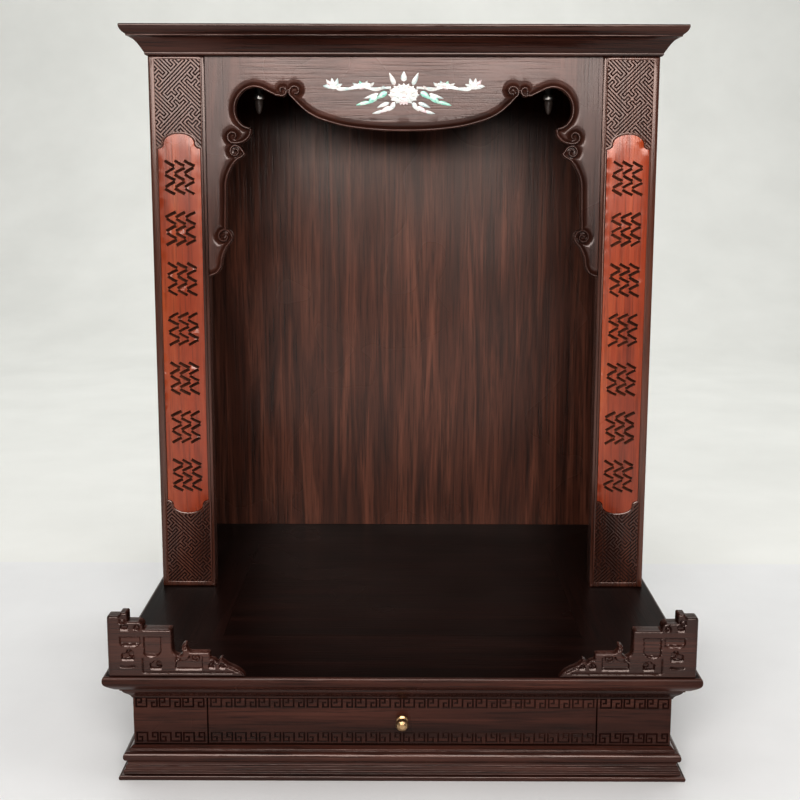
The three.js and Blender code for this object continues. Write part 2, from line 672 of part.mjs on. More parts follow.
function addApron() {
  const y0 = CABINET_FRONT + APRON_SETBACK;
  const y1 = y0 + APRON_THICKNESS;
  const lift = (points) => points.map(([x, z]) => [x, z + BASE_HEIGHT]);
  const half = postInner - GAP;
  const top = cabinetTop - BASE_HEIGHT;
  const right = apronEdge();
  const plateShape = [[half, tail[0][1]], ...right, ...mirrored(right).reverse().slice(1),
    [-half, tail[0][1]], [-half, top], [half, top]];
  let apron = platePrism(lift(plateShape), y0 + BEAD_HEIGHT, y1);
  const lines = [
    [...tail, ...lowVolute], [...upright, ...midVolute], leafCurl, [...arch, ...archVolute],
    [...lobe, ...lobeVolute],
  ];
  for (const line of lines) {
    for (const points of [line, mirrored(line)]) {
      apron = apron.add(platePrism(lift(ribbon(points, BEAD)), y0, y1));
    }
  }
  const room = box(-half, half, y0 - EMBED, y1 + EMBED, BASE_HEIGHT, cabinetTop);
  const face = y0 + BEAD_HEIGHT;
  const inlaid = (grow, y, floor) =>
    joinAll(lotusShapes(grow).map((shape) => platePrism(lift(shape), y, floor)));
  const pocket = inlaid(GAP, face - EMBED, face + INLAY);
  addPiece("apron", apron.intersect(room).subtract(pocket), "carvedRosewood");
  addPiece("lotus_inlay", inlaid(0, face, face + INLAY - GAP), "pearl");
}

// ---------------------------------------------------------------- cabinet

function addCabinet() {
  const sideInner = CABINET_HALF - BOARD;
  const y0 = CABINET_FRONT + POST_DEPTH + GAP;
  const y1 = backFace + BACK_BOARD;
  const left = box(-CABINET_HALF, -sideInner, y0, y1, cabinetBottom, cabinetTop);
  const right = box(sideInner, CABINET_HALF, y0, y1, cabinetBottom, cabinetTop);
  addPiece("cabinet_side_left", left, "rosewood");
  addPiece("cabinet_side_right", right, "rosewood");
  const half = sideInner - GAP;
  addPiece("cabinet_back", box(-half, half, backFace, y1, cabinetBottom, cabinetTop), "backWood");
  const ceilingLow = cabinetTop - CEILING_BOARD;
  addPiece("cabinet_ceiling", box(-half, half, y0, backFace - GAP, ceilingLow, cabinetTop), "rosewood");
  return ceilingLow;
}

const corniceProfile = [
  [0.4, CABINET_TOP], [3.4, CABINET_TOP + 2.2], [3.4, CABINET_TOP + 4.1], [5, CABINET_TOP + 6.4],
  [8.4, CABINET_TOP + 11.4], [13.1, CABINET_TOP + 17], [17.6, CABINET_TOP + 20.4],
  [20.8, CABINET_TOP + 21.2], [20.8, CABINET_TOP + 23], [24.6, CABINET_TOP + 25.6],
  [27.3, CABINET_TOP + 29], [27.8, CABINET_TOP + 31.6], [27.2, HEIGHT],
];

function addCornice() {
  const slab = mouldedSlab(CABINET_HALF, CABINET_FRONT, back, corniceProfile);
  const plans = framePlans(CABINET_HALF, CABINET_FRONT, back, CORNICE_RAIL, CORNICE_RAIL, CORNICE_RAIL);
  const rails = cutFrame(slab, plans, CABINET_TOP, HEIGHT);
  for (const side of Object.keys(rails)) {
    addPiece(`cornice_${side}`, rails[side], "rosewood");
  }
  const half = CABINET_HALF - CORNICE_RAIL - GAP;
  const y0 = CABINET_FRONT + CORNICE_RAIL + GAP;
  const y1 = back - CORNICE_RAIL - GAP;
  addPiece("roof_panel", box(-half, half, y0, y1, HEIGHT - BOARD, HEIGHT - 1), "rosewood");
}

// ---------------------------------------------------------------- lamps

const LAMP_X = 177;
const LAMP_Y = 78.3;
const lampTip = BASE_HEIGHT + 575.5;

function addLamp(name, sign, ceilingLow) {
  const turned = (profile) => {
    const points = profile.map(([radius, z]) => new THREE.Vector2(radius, z));
    const geometry = new THREE.LatheGeometry(points, 8);
    geometry.rotateX(Math.PI / 2);
    geometry.translate(sign * LAMP_X, LAMP_Y, 0);
    return toSolid(geometry);
  };
  const collar = lampTip + 17;
  const top = ceilingLow - GAP;
  const holder = [[0, collar], [4.6, collar], [6.2, collar + 2], [6.2, collar + 5], [5, collar + 7],
    [5, top - 3], [8, top - 2], [8, top], [0, top]];
  const bulb = [[0, lampTip], [1.4, lampTip + 1.6], [3.2, lampTip + 6.5], [4.4, lampTip + 12],
    [4.2, collar - GAP], [0, collar - GAP]];
  addPiece(`lamp_holder_${name}`, turned(holder), "lampMetal");
  addPiece(`lamp_bulb_${name}`, turned(bulb), "lampGlass");
}

// ---------------------------------------------------------------- the altar

addPlinth();
const floorTop = addBase();
addUnderMoulding();
addLedge();
addDrawer(floorTop);
addCornerFret("corner_fret_left", -1);
addCornerFret("corner_fret_right", 1);
addPost("post_left", -1);
addPost("post_right", 1);
addInset("couplet_inset_left", -1);
addInset("couplet_inset_right", 1);
addApron();
const ceilingLow = addCabinet();
addCornice();
addLamp("left", -1, ceilingLow);
addLamp("right", 1, ceilingLow);

export default altar;
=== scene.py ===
"""A household altar cabinet in dark rosewood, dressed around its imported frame.

Lengths are millimetres in the drawing helpers and metres in Blender.
"""
import math
import random

import bpy
import numpy as np
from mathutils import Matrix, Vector
from mathutils.geometry import delaunay_2d_cdt


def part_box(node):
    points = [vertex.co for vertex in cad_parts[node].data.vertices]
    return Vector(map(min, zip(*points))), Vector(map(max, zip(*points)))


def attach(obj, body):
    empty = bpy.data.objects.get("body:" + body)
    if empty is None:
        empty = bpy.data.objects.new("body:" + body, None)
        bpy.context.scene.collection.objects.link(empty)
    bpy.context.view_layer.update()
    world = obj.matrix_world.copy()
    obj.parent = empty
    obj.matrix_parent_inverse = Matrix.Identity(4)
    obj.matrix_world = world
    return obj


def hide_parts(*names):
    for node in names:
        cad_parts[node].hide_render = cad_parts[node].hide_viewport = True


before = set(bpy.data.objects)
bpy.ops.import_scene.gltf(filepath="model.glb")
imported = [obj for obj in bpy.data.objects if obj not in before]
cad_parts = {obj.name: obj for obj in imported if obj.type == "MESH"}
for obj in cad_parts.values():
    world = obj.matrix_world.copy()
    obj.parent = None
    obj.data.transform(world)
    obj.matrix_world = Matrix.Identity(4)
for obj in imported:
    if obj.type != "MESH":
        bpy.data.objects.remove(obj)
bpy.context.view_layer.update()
scene = bpy.context.scene
rng = random.Random(41)

MM = 0.001
LEDGE = 117.0  # height of the ledge over the floor
CABINET_HALF = 296.2
FACE = -1.7  # the front of the posts
SIDES = (("left", -1), ("right", 1))
POST_WIDTH = 64.7
POST_INNER = CABINET_HALF - POST_WIDTH
INSET_X = CABINET_HALF - 33.4


# ----- drawn lines

def volute(cx, cz, outer, inner, start, end, steps):
    angles = np.radians(np.linspace(start, end, steps + 1))
    radii = np.linspace(outer, inner, steps + 1)
    return [(cx + r * math.cos(a), cz + r * math.sin(a)) for a, r in zip(angles, radii)]


def arc(cx, cz, radius, start, end, steps):
    return volute(cx, cz, radius, radius, start, end, steps)


def smooth(points, steps):
    """Points along a Catmull-Rom curve, spaced evenly in its parameter."""
    p = np.array(points, float)
    spans = len(p) - 1
    out = []
    for k in range(steps + 1):
        t = spans * k / steps
        i = min(int(t), spans - 1)
        f = t - i
        a, b = p[max(i - 1, 0)], p[i]
        c, d = p[i + 1], p[min(i + 2, spans)]
        v0, v1 = (c - a) / 2, (d - b) / 2
        out.append(tuple((2 * b - 2 * c + v0 + v1) * f ** 3
                         + (-3 * b + 3 * c - 2 * v0 - v1) * f ** 2 + v0 * f + b))
    return out


def flip(points):
    return [(-x, z) for x, z in points]


def lift(points):
    return [(x, z + LEDGE) for x, z in points]


def resample(points, step, closed=False):
    """The same line with corners kept and no span longer than step."""
    out = []
    last = len(points) if closed else len(points) - 1
    for i in range(last):
        a, b = points[i], points[(i + 1) % len(points)]
        n = max(1, math.ceil(math.dist(a, b) / step))
        out += [(a[0] + (b[0] - a[0]) * k / n, a[1] + (b[1] - a[1]) * k / n) for k in range(n)]
    return out if closed else out + [points[-1]]


def side_steps(points, closed=False):
    """At each point, the unit step to the left of the line, stretched at corners."""
    p = np.array(points, float)
    ahead = np.roll(p, -1, 0) - p
    if not closed:
        ahead[-1] = ahead[-2]
    ahead /= np.linalg.norm(ahead, axis=1)[:, None] + 1e-12
    before = np.roll(ahead, 1, 0)
    if not closed:
        before[0] = ahead[0]
    along = ahead + before
    along /= np.linalg.norm(along, axis=1)[:, None] + 1e-12
    lean = np.clip((along * ahead).sum(1), 0.5, 1)
    return np.stack([-along[:, 1], along[:, 0]], 1) / lean[:, None]


def offset(points, distance, closed=False):
    return [tuple(q) for q in np.array(points, float) + side_steps(points, closed) * distance]


def ribbon(points, width, reach=0.0):
    """A band of this width along a line, its ends carried on by reach."""
    p = [np.array(q, float) for q in points]
    for end, beside in ((0, 1), (-1, -2)):
        step = p[end] - p[beside]
        p[end] = p[end] + step / np.linalg.norm(step) * reach
    return offset(p, width / 2) + offset(p, -width / 2)[::-1]


def distance_to(points, lines):
    """Distance from each point to the nearest of the lines."""
    p = np.asarray(points, float).reshape(-1, 2)
    best = np.full(len(p), 1e9)
    for line in lines:
        q = np.asarray(line, float)
        a, d = q[:-1], q[1:] - q[:-1]
        length = (d * d).sum(1) + 1e-12
        for low in range(0, len(p), 4000):
            c = p[low:low + 4000, None, :] - a[None]
            t = np.clip((c * d[None]).sum(2) / length, 0, 1)
            gap = c - t[..., None] * d[None]
            near = np.sqrt((gap * gap).sum(2).min(1))
            best[low:low + 4000] = np.minimum(best[low:low + 4000], near)
    return best


def inside(points, loops):
    p = np.asarray(points, float).reshape(-1, 2)
    hit = np.zeros(len(p), bool)
    for loop in loops:
        q = np.asarray(loop, float)
        r = np.roll(q, -1, 0)
        for low in range(0, len(p), 4000):
            x, z = p[low:low + 4000, 0:1], p[low:low + 4000, 1:2]
            spans = (q[None, :, 1] > z) != (r[None, :, 1] > z)
            rise = np.where(spans, r[None, :, 1] - q[None, :, 1], 1)
            cross = q[None, :, 0] + (z - q[None, :, 1]) * (r[None, :, 0] - q[None, :, 0]) / rise
            hit[low:low + 4000] ^= (spans & (x < cross)).sum(1) % 2 == 1
    return hit


def closed_line(loop):
    return list(loop) + [loop[0]]


def rectangle(x0, x1, z0, z1):
    return [(x0, z0), (x1, z0), (x1, z1), (x0, z1)]


def frame_line(x0, x1, z0, z1, inset, step):
    """A closed line this far inside a rectangle."""
    return closed_line(resample(rectangle(x0 + inset, x1 - inset, z0 + inset, z1 - inset), step, True))


# ----- meshes

def add_object(name, data):
    added = bpy.data.objects.new(name, data)
    scene.collection.objects.link(added)
    return added


def mesh_piece(name, parts, materials, replaces, body="cabinet", angle=32):
    """One object from parts of (vertices in mm, faces, material index or list)."""
    verts, faces, index = [], [], []
    for part_verts, part_faces, material in parts:
        base = len(verts)
        verts += [(x * MM, y * MM, z * MM) for x, y, z in part_verts]
        faces += [tuple(i + base for i in face) for face in part_faces]
        index += list(material) if hasattr(material, "__len__") else [material] * len(part_faces)
    mesh = bpy.data.meshes.new(name)
    mesh.from_pydata(verts, [], faces)
    mesh.validate()
    for material in materials:
        mesh.materials.append(material)
    mesh.polygons.foreach_set("material_index", index)
    mesh.shade_smooth()
    mesh.set_sharp_from_angle(angle=math.radians(angle))
    piece = add_object(name, mesh)
    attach(piece, body)
    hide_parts(*replaces)
    return piece


def triangulate(loops, lines, points):
    coords, edges = [], []
    for line, spans in [(loop, len(loop)) for loop in loops] + [(line, len(line) - 1) for line in lines]:
        base = len(coords)
        coords += [Vector(p) for p in line]
        edges += [(base + i, base + (i + 1) % len(line)) for i in range(spans)]
    coords += [Vector(p) for p in points]
    found = delaunay_2d_cdt(coords, edges, [], 0, 1e-4)
    flat = np.array([tuple(v) for v in found[0]])
    tris = np.array([f for f in found[2] if len(f) == 3])
    tris = tris[inside(flat[tris].mean(1), loops)]
    a, b, c = flat[tris[:, 0]], flat[tris[:, 1]], flat[tris[:, 2]]
    area = (b[:, 0] - a[:, 0]) * (c[:, 1] - a[:, 1]) - (b[:, 1] - a[:, 1]) * (c[:, 0] - a[:, 0])
    tris[area < 0] = tris[area < 0][:, ::-1]
    return flat, tris


def relief(loops, lines, points, depth, y0, y1, paint=None):
    """A plate from y1 to a carved front face, depth(points) behind y0. Faces point outwards.

    The first loop is the outline and the others are openings. y1 may be a function of x and z.
    """
    rear_y = y1 if callable(y1) else lambda x, z: y1
    flat, tris = triangulate(loops, lines, points)
    verts = [(x, y0 + s, z) for (x, z), s in zip(flat, depth(flat))]
    # with x across and z up, a counter-clockwise face already looks towards -y
    faces = [tuple(int(i) for i in t) for t in tris]
    material = [int(k) for k in paint(flat[tris].mean(1))] if paint else []
    open_edges = {}
    for t in faces:
        for a, b in zip(t, t[1:] + t[:1]):
            if not open_edges.pop((b, a), False):
                open_edges[a, b] = True
    rear = {}
    for a, b in open_edges:
        for i in (a, b):
            if i not in rear:
                rear[i] = len(verts)
                verts.append((flat[i][0], rear_y(*flat[i]), flat[i][1]))
        faces.append((a, rear[a], rear[b], b))
    # the back needs no inner points
    back_flat, back_tris = triangulate(loops, [], [])
    base = len(verts)
    verts += [(x, rear_y(x, z), z) for x, z in back_flat]
    faces += [tuple(base + int(i) for i in t[::-1]) for t in back_tris]
    return verts, faces, material + [0] * (len(faces) - len(material))


def hex_points(x0, x1, z0, z1, step):
    rows = []
    z, odd = z0, False
    while z <= z1:
        rows += [(x, z) for x in np.arange(x0 + (step / 2 if odd else 0), x1, step)]
        z += step * 0.866
        odd = not odd
    return rows


def bead(line, width, rise, top, foot, closed=False, taper=1.0):
    """A round rib along a line: its crest at y = top, its sides down to y = foot.

    taper is the share of its width that is left at its end.
    """
    crown = 5
    steps = side_steps(line, closed)
    n = len(line)
    verts, faces = [], []
    section = [(-1.0, foot)]
    for k in range(crown + 1):
        a = math.pi * k / crown
        section.append((-math.cos(a), top + rise * (1 - math.sin(a))))
    section.append((1.0, foot))
    m = len(section)
    for i, ((x, z), (sx, sz)) in enumerate(zip(line, steps)):
        share = 1 + (taper - 1) * (i / (n - 1)) ** 3
        w = width / 2 * share
        drop = rise * (1 - share) * 0.6
        for s, y in section:
            verts.append((x + sx * s * w, y + (drop if y < foot - 1e-6 else 0), z + sz * s * w))
    spans = n if closed else n - 1
    for i in range(spans):
        j = (i + 1) % n
        for k in range(m - 1):
            faces.append((i * m + k, i * m + k + 1, j * m + k + 1, j * m + k))
    if not closed:
        faces.append(tuple(range(m - 1, -1, -1)))
        faces.append(tuple((n - 1) * m + k for k in range(m)))
    return verts, faces, 0


def block(x0, x1, y0, y1, z0, z1):
    verts = [(x, y, z) for z in (z0, z1) for x, y in ((x0, y0), (x1, y0), (x1, y1), (x0, y1))]
    faces = [(3, 2, 1, 0), (4, 5, 6, 7), (0, 1, 5, 4), (1, 2, 6, 5), (2, 3, 7, 6), (3, 0, 4, 7)]
    return verts, faces, 0


def lathe(profile, sides, place, phase=0.0):
    verts, faces = [], []
    for r, h in profile:
        for i in range(sides):
            a = 2 * math.pi * (i + phase) / sides
            verts.append(place(r * math.cos(a), r * math.sin(a), h))
    for k in range(len(profile) - 1):
        for i in range(sides):
            j = (i + 1) % sides
            faces.append((k * sides + i, k * sides + j, (k + 1) * sides + j, (k + 1) * sides + i))
    faces.append(tuple(range(sides - 1, -1, -1)))
    faces.append(tuple((len(profile) - 1) * sides + i for i in range(sides)))
    return verts, faces, 0


def soften(piece, width, limit=35):
    modifier = piece.modifiers.new("soften", "BEVEL")
    modifier.width = width * MM
    modifier.segments = 2
    modifier.limit_method = "ANGLE"
    modifier.angle_limit = math.radians(limit)
    modifier.harden_normals = True


# ----- materials

class Nodes:
    """A short way to write a node material."""

    def __init__(self, name):
        self.material = bpy.data.materials.new(name)
        self.material.use_nodes = True
        self.tree = self.material.node_tree
        self.tree.nodes.clear()
        self.shader = self.tree.nodes.new("ShaderNodeBsdfPrincipled")
        self.add("ShaderNodeOutputMaterial", {0: self.shader.outputs[0]})
        self.coords = self.tree.nodes.new("ShaderNodeTexCoord").outputs["Object"]

    def feed(self, socket, value):
        if hasattr(value, "is_output"):
            self.tree.links.new(value, socket)
        else:
            socket.default_value = value

    def add(self, kind, inputs):
        """A node with its inputs linked or set."""
        node = self.tree.nodes.new(kind)
        for place, value in inputs.items():
            self.feed(node.inputs[place], value)
        return node

    def noise(self, scale, detail, roughness, distortion=0.0, at=(0, 0, 0)):
        """Noise as fine as scale, which is one number or three, and moved by at."""
        scale = scale if hasattr(scale, "__len__") else (scale,) * 3
        mapped = self.add("ShaderNodeMapping", {"Vector": self.coords, "Scale": scale, "Location": at})
        return self.add("ShaderNodeTexNoise", {
            "Vector": mapped.outputs[0], "Scale": 1.0, "Detail": detail, "Roughness": roughness,
            "Distortion": distortion}).outputs[0]

    def part(self, axis):
        return self.add("ShaderNodeSeparateXYZ", {0: self.coords}).outputs[axis]

    def from_middle(self):
        node = self.add("ShaderNodeMath", {0: self.part("X")})
        node.operation = "ABSOLUTE"
        return node.outputs[0]

    def ramp(self, value, stops):
        node = self.add("ShaderNodeValToRGB", {0: value})
        elements = node.color_ramp.elements
        while len(elements) < len(stops):
            elements.new(0.5)
        for element, (at, colour) in zip(elements, stops):
            element.position = at
            element.color = (*colour, 1) if hasattr(colour, "__len__") else (colour, colour, colour, 1)
        return node.outputs[0]

    def mix(self, a, b, factor, how="MULTIPLY"):
        node = self.tree.nodes.new("ShaderNodeMix")
        node.data_type = "RGBA"
        node.blend_type = how
        for place, value in ((0, factor), (6, a), (7, b)):
            self.feed(node.inputs[place], value)
        return node.outputs[2]

    def spread(self, value, low, high, start=0.3, end=0.7):
        """low to high as value goes from start to end."""
        return self.add("ShaderNodeMapRange", {0: value, 1: start, 2: end, 3: low, 4: high}).outputs[0]

    def bump(self, height, strength, distance):
        return self.add("ShaderNodeBump", {
            "Strength": strength, "Distance": distance, "Height": height}).outputs[0]

    def put(self, **values):
        for key, value in values.items():
            self.feed(self.shader.inputs[key.replace("_", " ")], value)


def along(axis, fine, long):
    return tuple(long if k == axis else fine for k in range(3))


def wood(name, axis, deep, mid, light, rough=(0.21, 0.34), place=0.0, figure=1.0, gloss=0.3,
         pores=0.55, bump=0.35, turn=None, painted_shade=None, wander=0.5, contrast=0.62,
         sheen=(1.0, 0.87, 0.82)):
    """Streaked wood along an axis. turn gives the distances from the middle, in metres, between
    which the grain swings upright, and painted_shade the heights between which painted shade darkens the
    wood and dulls its gloss."""
    n = Nodes(name)
    at = (place, place * 0.7, place * 1.3)

    def grain(fine, long, *rest):
        one = n.noise(along(axis, fine, long), *rest, at=at)
        if turn is None:
            return one
        upright = n.noise(along(2, fine, long), *rest, at=at)
        return n.mix(one, upright, n.spread(n.from_middle(), 0, 1, *turn), "MIX")

    streaks = grain(46 * figure, 2.6, 7, 0.62, wander)
    bands = grain(11 * figure, 0.9, 3, 0.5, wander + 0.3)
    fine = grain(420, 14, 3, 0.6)
    cloud = n.noise(5, 2, 0.5, at=at)
    colour = n.ramp(streaks, [(0.28, deep), (0.5, mid), (0.72, light)])
    colour = n.mix(colour, n.ramp(bands, [(0.3, 0.55), (0.7, 1.25)]), contrast)
    colour = n.mix(colour, n.ramp(fine, [(0.36, 1 - pores), (0.5, 1.0)]), 0.9)
    # painted shade: above these heights the colour is darkened and the gloss lowered, in place of the shadow
    # under the apron
    if painted_shade:
        shade = n.spread(n.part("Z"), 0, 1, *painted_shade)
        colour = n.mix(colour, n.ramp(shade, [(0.0, 1.0), (1.0, (0.16, 0.1, 0.08))]), 1.0)
        gloss = n.spread(n.part("Z"), gloss, 0.1, *painted_shade)
    height = n.mix(n.ramp(fine, [(0.3, 0.0), (0.52, 1.0)]), n.ramp(streaks, [(0.3, 0.5), (0.7, 1.0)]), 1.0)
    n.put(Base_Color=colour, Roughness=n.spread(cloud, *rough), Specular_IOR_Level=gloss,
          Specular_Tint=(*sheen, 1), Normal=n.bump(height, bump, 0.00025))
    return n.material


TONES = (0.018, 0.0056, 0.0038), (0.048, 0.0152, 0.0098), (0.092, 0.033, 0.022)  # deep, middle, light
rosewood_x = wood("rosewood_x", 0, *TONES)
rosewood_y = wood("rosewood_y", 1, *TONES, place=3.1)
rosewood_z = wood("rosewood_z", 2, *TONES, place=5.7)
moulded_x = wood("moulded_rosewood_x", 0, *TONES, rough=(0.13, 0.23), gloss=0.5, place=2.2)
moulded_y = wood("moulded_rosewood_y", 1, *TONES, rough=(0.13, 0.23), gloss=0.5, place=3.8)
# painted shade: a darker, duller copy of the rosewood for the faces inside the grooves
shaded_groove_wood = wood("painted_shade_groove_rosewood", 0, (0.009, 0.0028, 0.0019), (0.023, 0.0072, 0.0048),
                   (0.042, 0.015, 0.01), rough=(0.4, 0.55), gloss=0.12, place=4.9)
# painted shade: a much darker copy of the rosewood for the ledge panel and the tops of the ledge rails
LEDGE_SHADE_TONES = (0.005, 0.0013, 0.0008), (0.013, 0.0033, 0.0021), (0.026, 0.0076, 0.0052)
ledge_shade_x = wood("ledge_rosewood_painted_shade_x", 0, *LEDGE_SHADE_TONES, rough=(0.26, 0.38), place=4.5, gloss=0.06)
ledge_shade_y = wood("ledge_rosewood_painted_shade_y", 1, *LEDGE_SHADE_TONES, rough=(0.26, 0.38), place=6.6, gloss=0.06)
CARVED_TONES = (0.026, 0.0074, 0.004), (0.07, 0.02, 0.01), (0.128, 0.043, 0.0245)
carved = wood("carved_rosewood", 2, *CARVED_TONES, rough=(0.17, 0.27), gloss=0.85, place=7.7, pores=0.4,
              bump=0.25)
fret_wood = wood("fret_rosewood", 0, (0.014, 0.0043, 0.0028), (0.038, 0.0118, 0.0078), (0.078, 0.027, 0.018),
                 rough=(0.16, 0.28), gloss=0.6, place=9.1, pores=0.45, bump=0.3)
apron_wood = wood("apron_rosewood", 0, (0.020, 0.007, 0.0046), (0.062, 0.0212, 0.0132), (0.14, 0.054, 0.037),
                  rough=(0.19, 0.33), gloss=0.6, place=9.1, pores=0.3, bump=0.3, figure=0.5,
                  turn=(0.168, 0.212), wander=1.4, contrast=0.9, sheen=(1.0, 0.92, 0.90))
# painted shade: a darker, duller copy of the rosewood for the lattice ground and the side boards' grooves
shaded_sunk_wood = wood("painted_shade_sunk_rosewood", 2, (0.01, 0.0026, 0.0016), (0.024, 0.0062, 0.004), (0.042, 0.0118, 0.0078),
                 rough=(0.45, 0.6), gloss=0.12, place=2.9, pores=0.4)
# the top of the back panel is painted darker: painted shade under the apron and cornice
back_wood = wood("back_rosewood", 2, (0.024, 0.0066, 0.0034), (0.1, 0.031, 0.0168), (0.23, 0.083, 0.048),
                 rough=(0.21, 0.32), gloss=0.62, place=1.3, figure=1.1, painted_shade=(0.635, 0.70), wander=1.1)
DRAWER_TONES = (0.07, 0.034, 0.019), (0.14, 0.076, 0.045), (0.21, 0.125, 0.08)
drawer_wood = wood("drawer_wood", 1, *DRAWER_TONES, rough=(0.45, 0.6), place=2.4)
drawer_wood_x = wood("drawer_wood_x", 0, *DRAWER_TONES, rough=(0.45, 0.6), place=6.4)
red_wood = wood("red_wood", 2, (0.185, 0.025, 0.0062), (0.295, 0.048, 0.012), (0.42, 0.096, 0.03),
                rough=(0.2, 0.3), gloss=0.75, place=4.2, pores=0.35, sheen=(1.0, 0.93, 0.90))
stroke_wood = wood("stroke_wood", 2, (0.03, 0.008, 0.0034), (0.052, 0.0145, 0.0064), (0.08, 0.025, 0.012),
                   rough=(0.42, 0.56), place=8.2)


def metal(name, colour, dark, rough):
    n = Nodes(name)
    cloud = n.noise(140, 4, 0.6)
    fine = n.noise(900, 3, 0.6)
    n.put(Base_Color=n.ramp(cloud, [(0.3, dark), (0.6, colour)]), Metallic=1.0,
          Roughness=n.spread(cloud, *rough), Normal=n.bump(fine, 0.15, 0.0001))
    return n.material


brass = metal("brass", (0.60, 0.44, 0.27), (0.38, 0.25, 0.13), (0.3, 0.44))
lamp_metal = metal("lamp_metal", (0.82, 0.80, 0.76), (0.6, 0.58, 0.55), (0.3, 0.45))
# painted shade: the lamp stem above the collar is near black, in place of the dark it hangs in
lamp_stem_painted_shade = metal("lamp_stem_painted_shade", (0.06, 0.055, 0.05), (0.03, 0.028, 0.026), (0.4, 0.6))


def shell(name, base, tint, other):
    n = Nodes(name)
    cloud = n.noise(70, 3, 0.5, 1.5)
    sheen = n.noise((190, 190, 420), 4, 0.6, 0.6)
    colour = n.ramp(cloud, [(0.32, tint), (0.5, base), (0.68, other)])
    colour = n.mix(colour, n.ramp(sheen, [(0.34, 0.62), (0.6, 1.0)]), 0.7)
    n.put(Base_Color=colour, Roughness=n.spread(sheen, 0.12, 0.3), Coat_Weight=0.5, Coat_Roughness=0.08,
          Normal=n.bump(sheen, 0.2, 0.0002))
    return n.material


pearl = shell("pearl_white", (0.73, 0.75, 0.73), (0.48, 0.60, 0.60), (0.76, 0.68, 0.66))
pearl_mint = shell("pearl_mint", (0.36, 0.68, 0.56), (0.20, 0.52, 0.45), (0.70, 0.76, 0.70))
pearl_pink = shell("pearl_pink", (0.76, 0.64, 0.64), (0.66, 0.48, 0.52), (0.78, 0.78, 0.76))


def lamp_glass_material():
    n = Nodes("lamp_glass")
    cloud = n.noise(200, 3, 0.5)
    n.put(Base_Color=n.ramp(cloud, [(0.3, (0.05, 0.034, 0.028)), (0.7, (0.10, 0.072, 0.060))]),
          Roughness=n.spread(cloud, 0.3, 0.42), Coat_Weight=0.15, Coat_Roughness=0.12)
    return n.material


lamp_glass = lamp_glass_material()


def ground(name, base, other, rough):
    n = Nodes(name)
    cloud = n.noise(3, 4, 0.55)
    fine = n.noise(160, 4, 0.6)
    n.put(Base_Color=n.ramp(cloud, [(0.3, base), (0.7, other)]), Roughness=n.spread(fine, *rough),
          Normal=n.bump(fine, 0.05, 0.0002))
    return n.material


# ----- boards kept from the frame

def dress(material, *names, edge=0.5):
    for name in names:
        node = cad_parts[name]
        node.data.materials.clear()
        node.data.materials.append(material)
        soften(node, edge)


dress(ledge_shade_x, "ledge_panel", edge=1.3)
dress(rosewood_x, "base_back", "cabinet_ceiling", "roof_panel", "base_bottom")
dress(rosewood_y, "base_side_left", "base_side_right", "drawer_guide_left", "drawer_guide_right")
dress(rosewood_z, "cabinet_side_left", "cabinet_side_right")
dress(back_wood, "cabinet_back")
dress(drawer_wood, "drawer_side_left", "drawer_side_right")
dress(drawer_wood_x, "drawer_back", "drawer_bottom")


# ----- mouldings

BODY = 279.3, -274.3  # half the base's width, and its front
BACK = 300.0
LEDGE_UNDER = LEDGE - 18.4
BODY_TOP = LEDGE_UNDER - 13.4


def moulding(name, half, front_y, datum, profile, widths, replaces, woods=(moulded_x, moulded_y), edge=0.35):
    """A frame of rails with a moulded outside at the front and both sides.

    profile runs from the bottom to the top as (out, height over datum); widths are those of
    the side, front and back rails, measured in from the body's faces. woods are those of the
    front and back, of the sides, and, where it has four, of the tops of both.
    """
    side_in, front_in, back_in = widths
    section = [(out, datum + up) for out, up in profile]
    section += [("in", section[-1][1]), ("in", section[0][1])]
    m = len(section)
    verts = []
    for sx, fy in ((-1, True), (1, True), (1, False), (-1, False)):
        for out, z in section:
            inner = out == "in"
            x = sx * (half - side_in if inner else half + out)
            if fy:
                y = front_y + front_in if inner else front_y - out
            else:
                y = BACK - back_in if inner else BACK
            verts.append((x, y, z))
    faces, index = [], []
    for corner in range(4):
        other = (corner + 1) % 4
        for k in range(m):
            l = (k + 1) % m
            faces.append((corner * m + k, other * m + k, other * m + l, corner * m + l))
            on_top = k == len(profile) - 1 and len(woods) > 2
            index.append(corner % 2 + 2 * on_top)
    piece = mesh_piece(name, [(verts, faces, index)], woods, replaces)
    soften(piece, edge, 40)


plinth_profile = [
    (13.6, 0), (14.3, 1.2), (14.4, 3.0), (13.6, 4.6), (11.6, 5.6), (10.4, 6.0),
    (10.0, 7.6), (10.2, 8.6), (9.4, 9.6), (8.5, 10.0), (8.3, 12.2), (8.0, 13.4),
    (6.4, 14.2), (6.1, 16.6), (7.2, 18.6),
    (9.2, 19.6), (10.2, 21.6), (10.3, 24.2), (9.4, 26.6), (7.6, 28.0), (5.0, 28.3),
    (4.4, 28.6), (4.4, 30.2), (3.4, 31.2), (1.0, 33.6),
]
moulding("plinth_moulding", *BODY, 0, plinth_profile, (17, 17, 17),
         ["plinth_front", "plinth_left", "plinth_right", "plinth_back"])

ledge_profile = [
    (12.2, -18.3), (15.2, -16.8), (18.6, -14.4), (21.4, -12.2), (23.4, -10.4), (24.8, -8.6),
    (25.5, -6.6), (25.65, -4.4), (25.4, -2.4), (24.7, -0.9), (23.6, -0.15), (22.4, 0),
]
# the rails' tops take the darker ledge wood: painted shade
moulding("ledge_rails", *BODY, LEDGE, ledge_profile, (81.3, 98.9, 113),
         ["ledge_rail_front", "ledge_rail_left", "ledge_rail_right", "ledge_rail_back"],
         (rosewood_x, rosewood_y, ledge_shade_x, ledge_shade_y), 0.9)

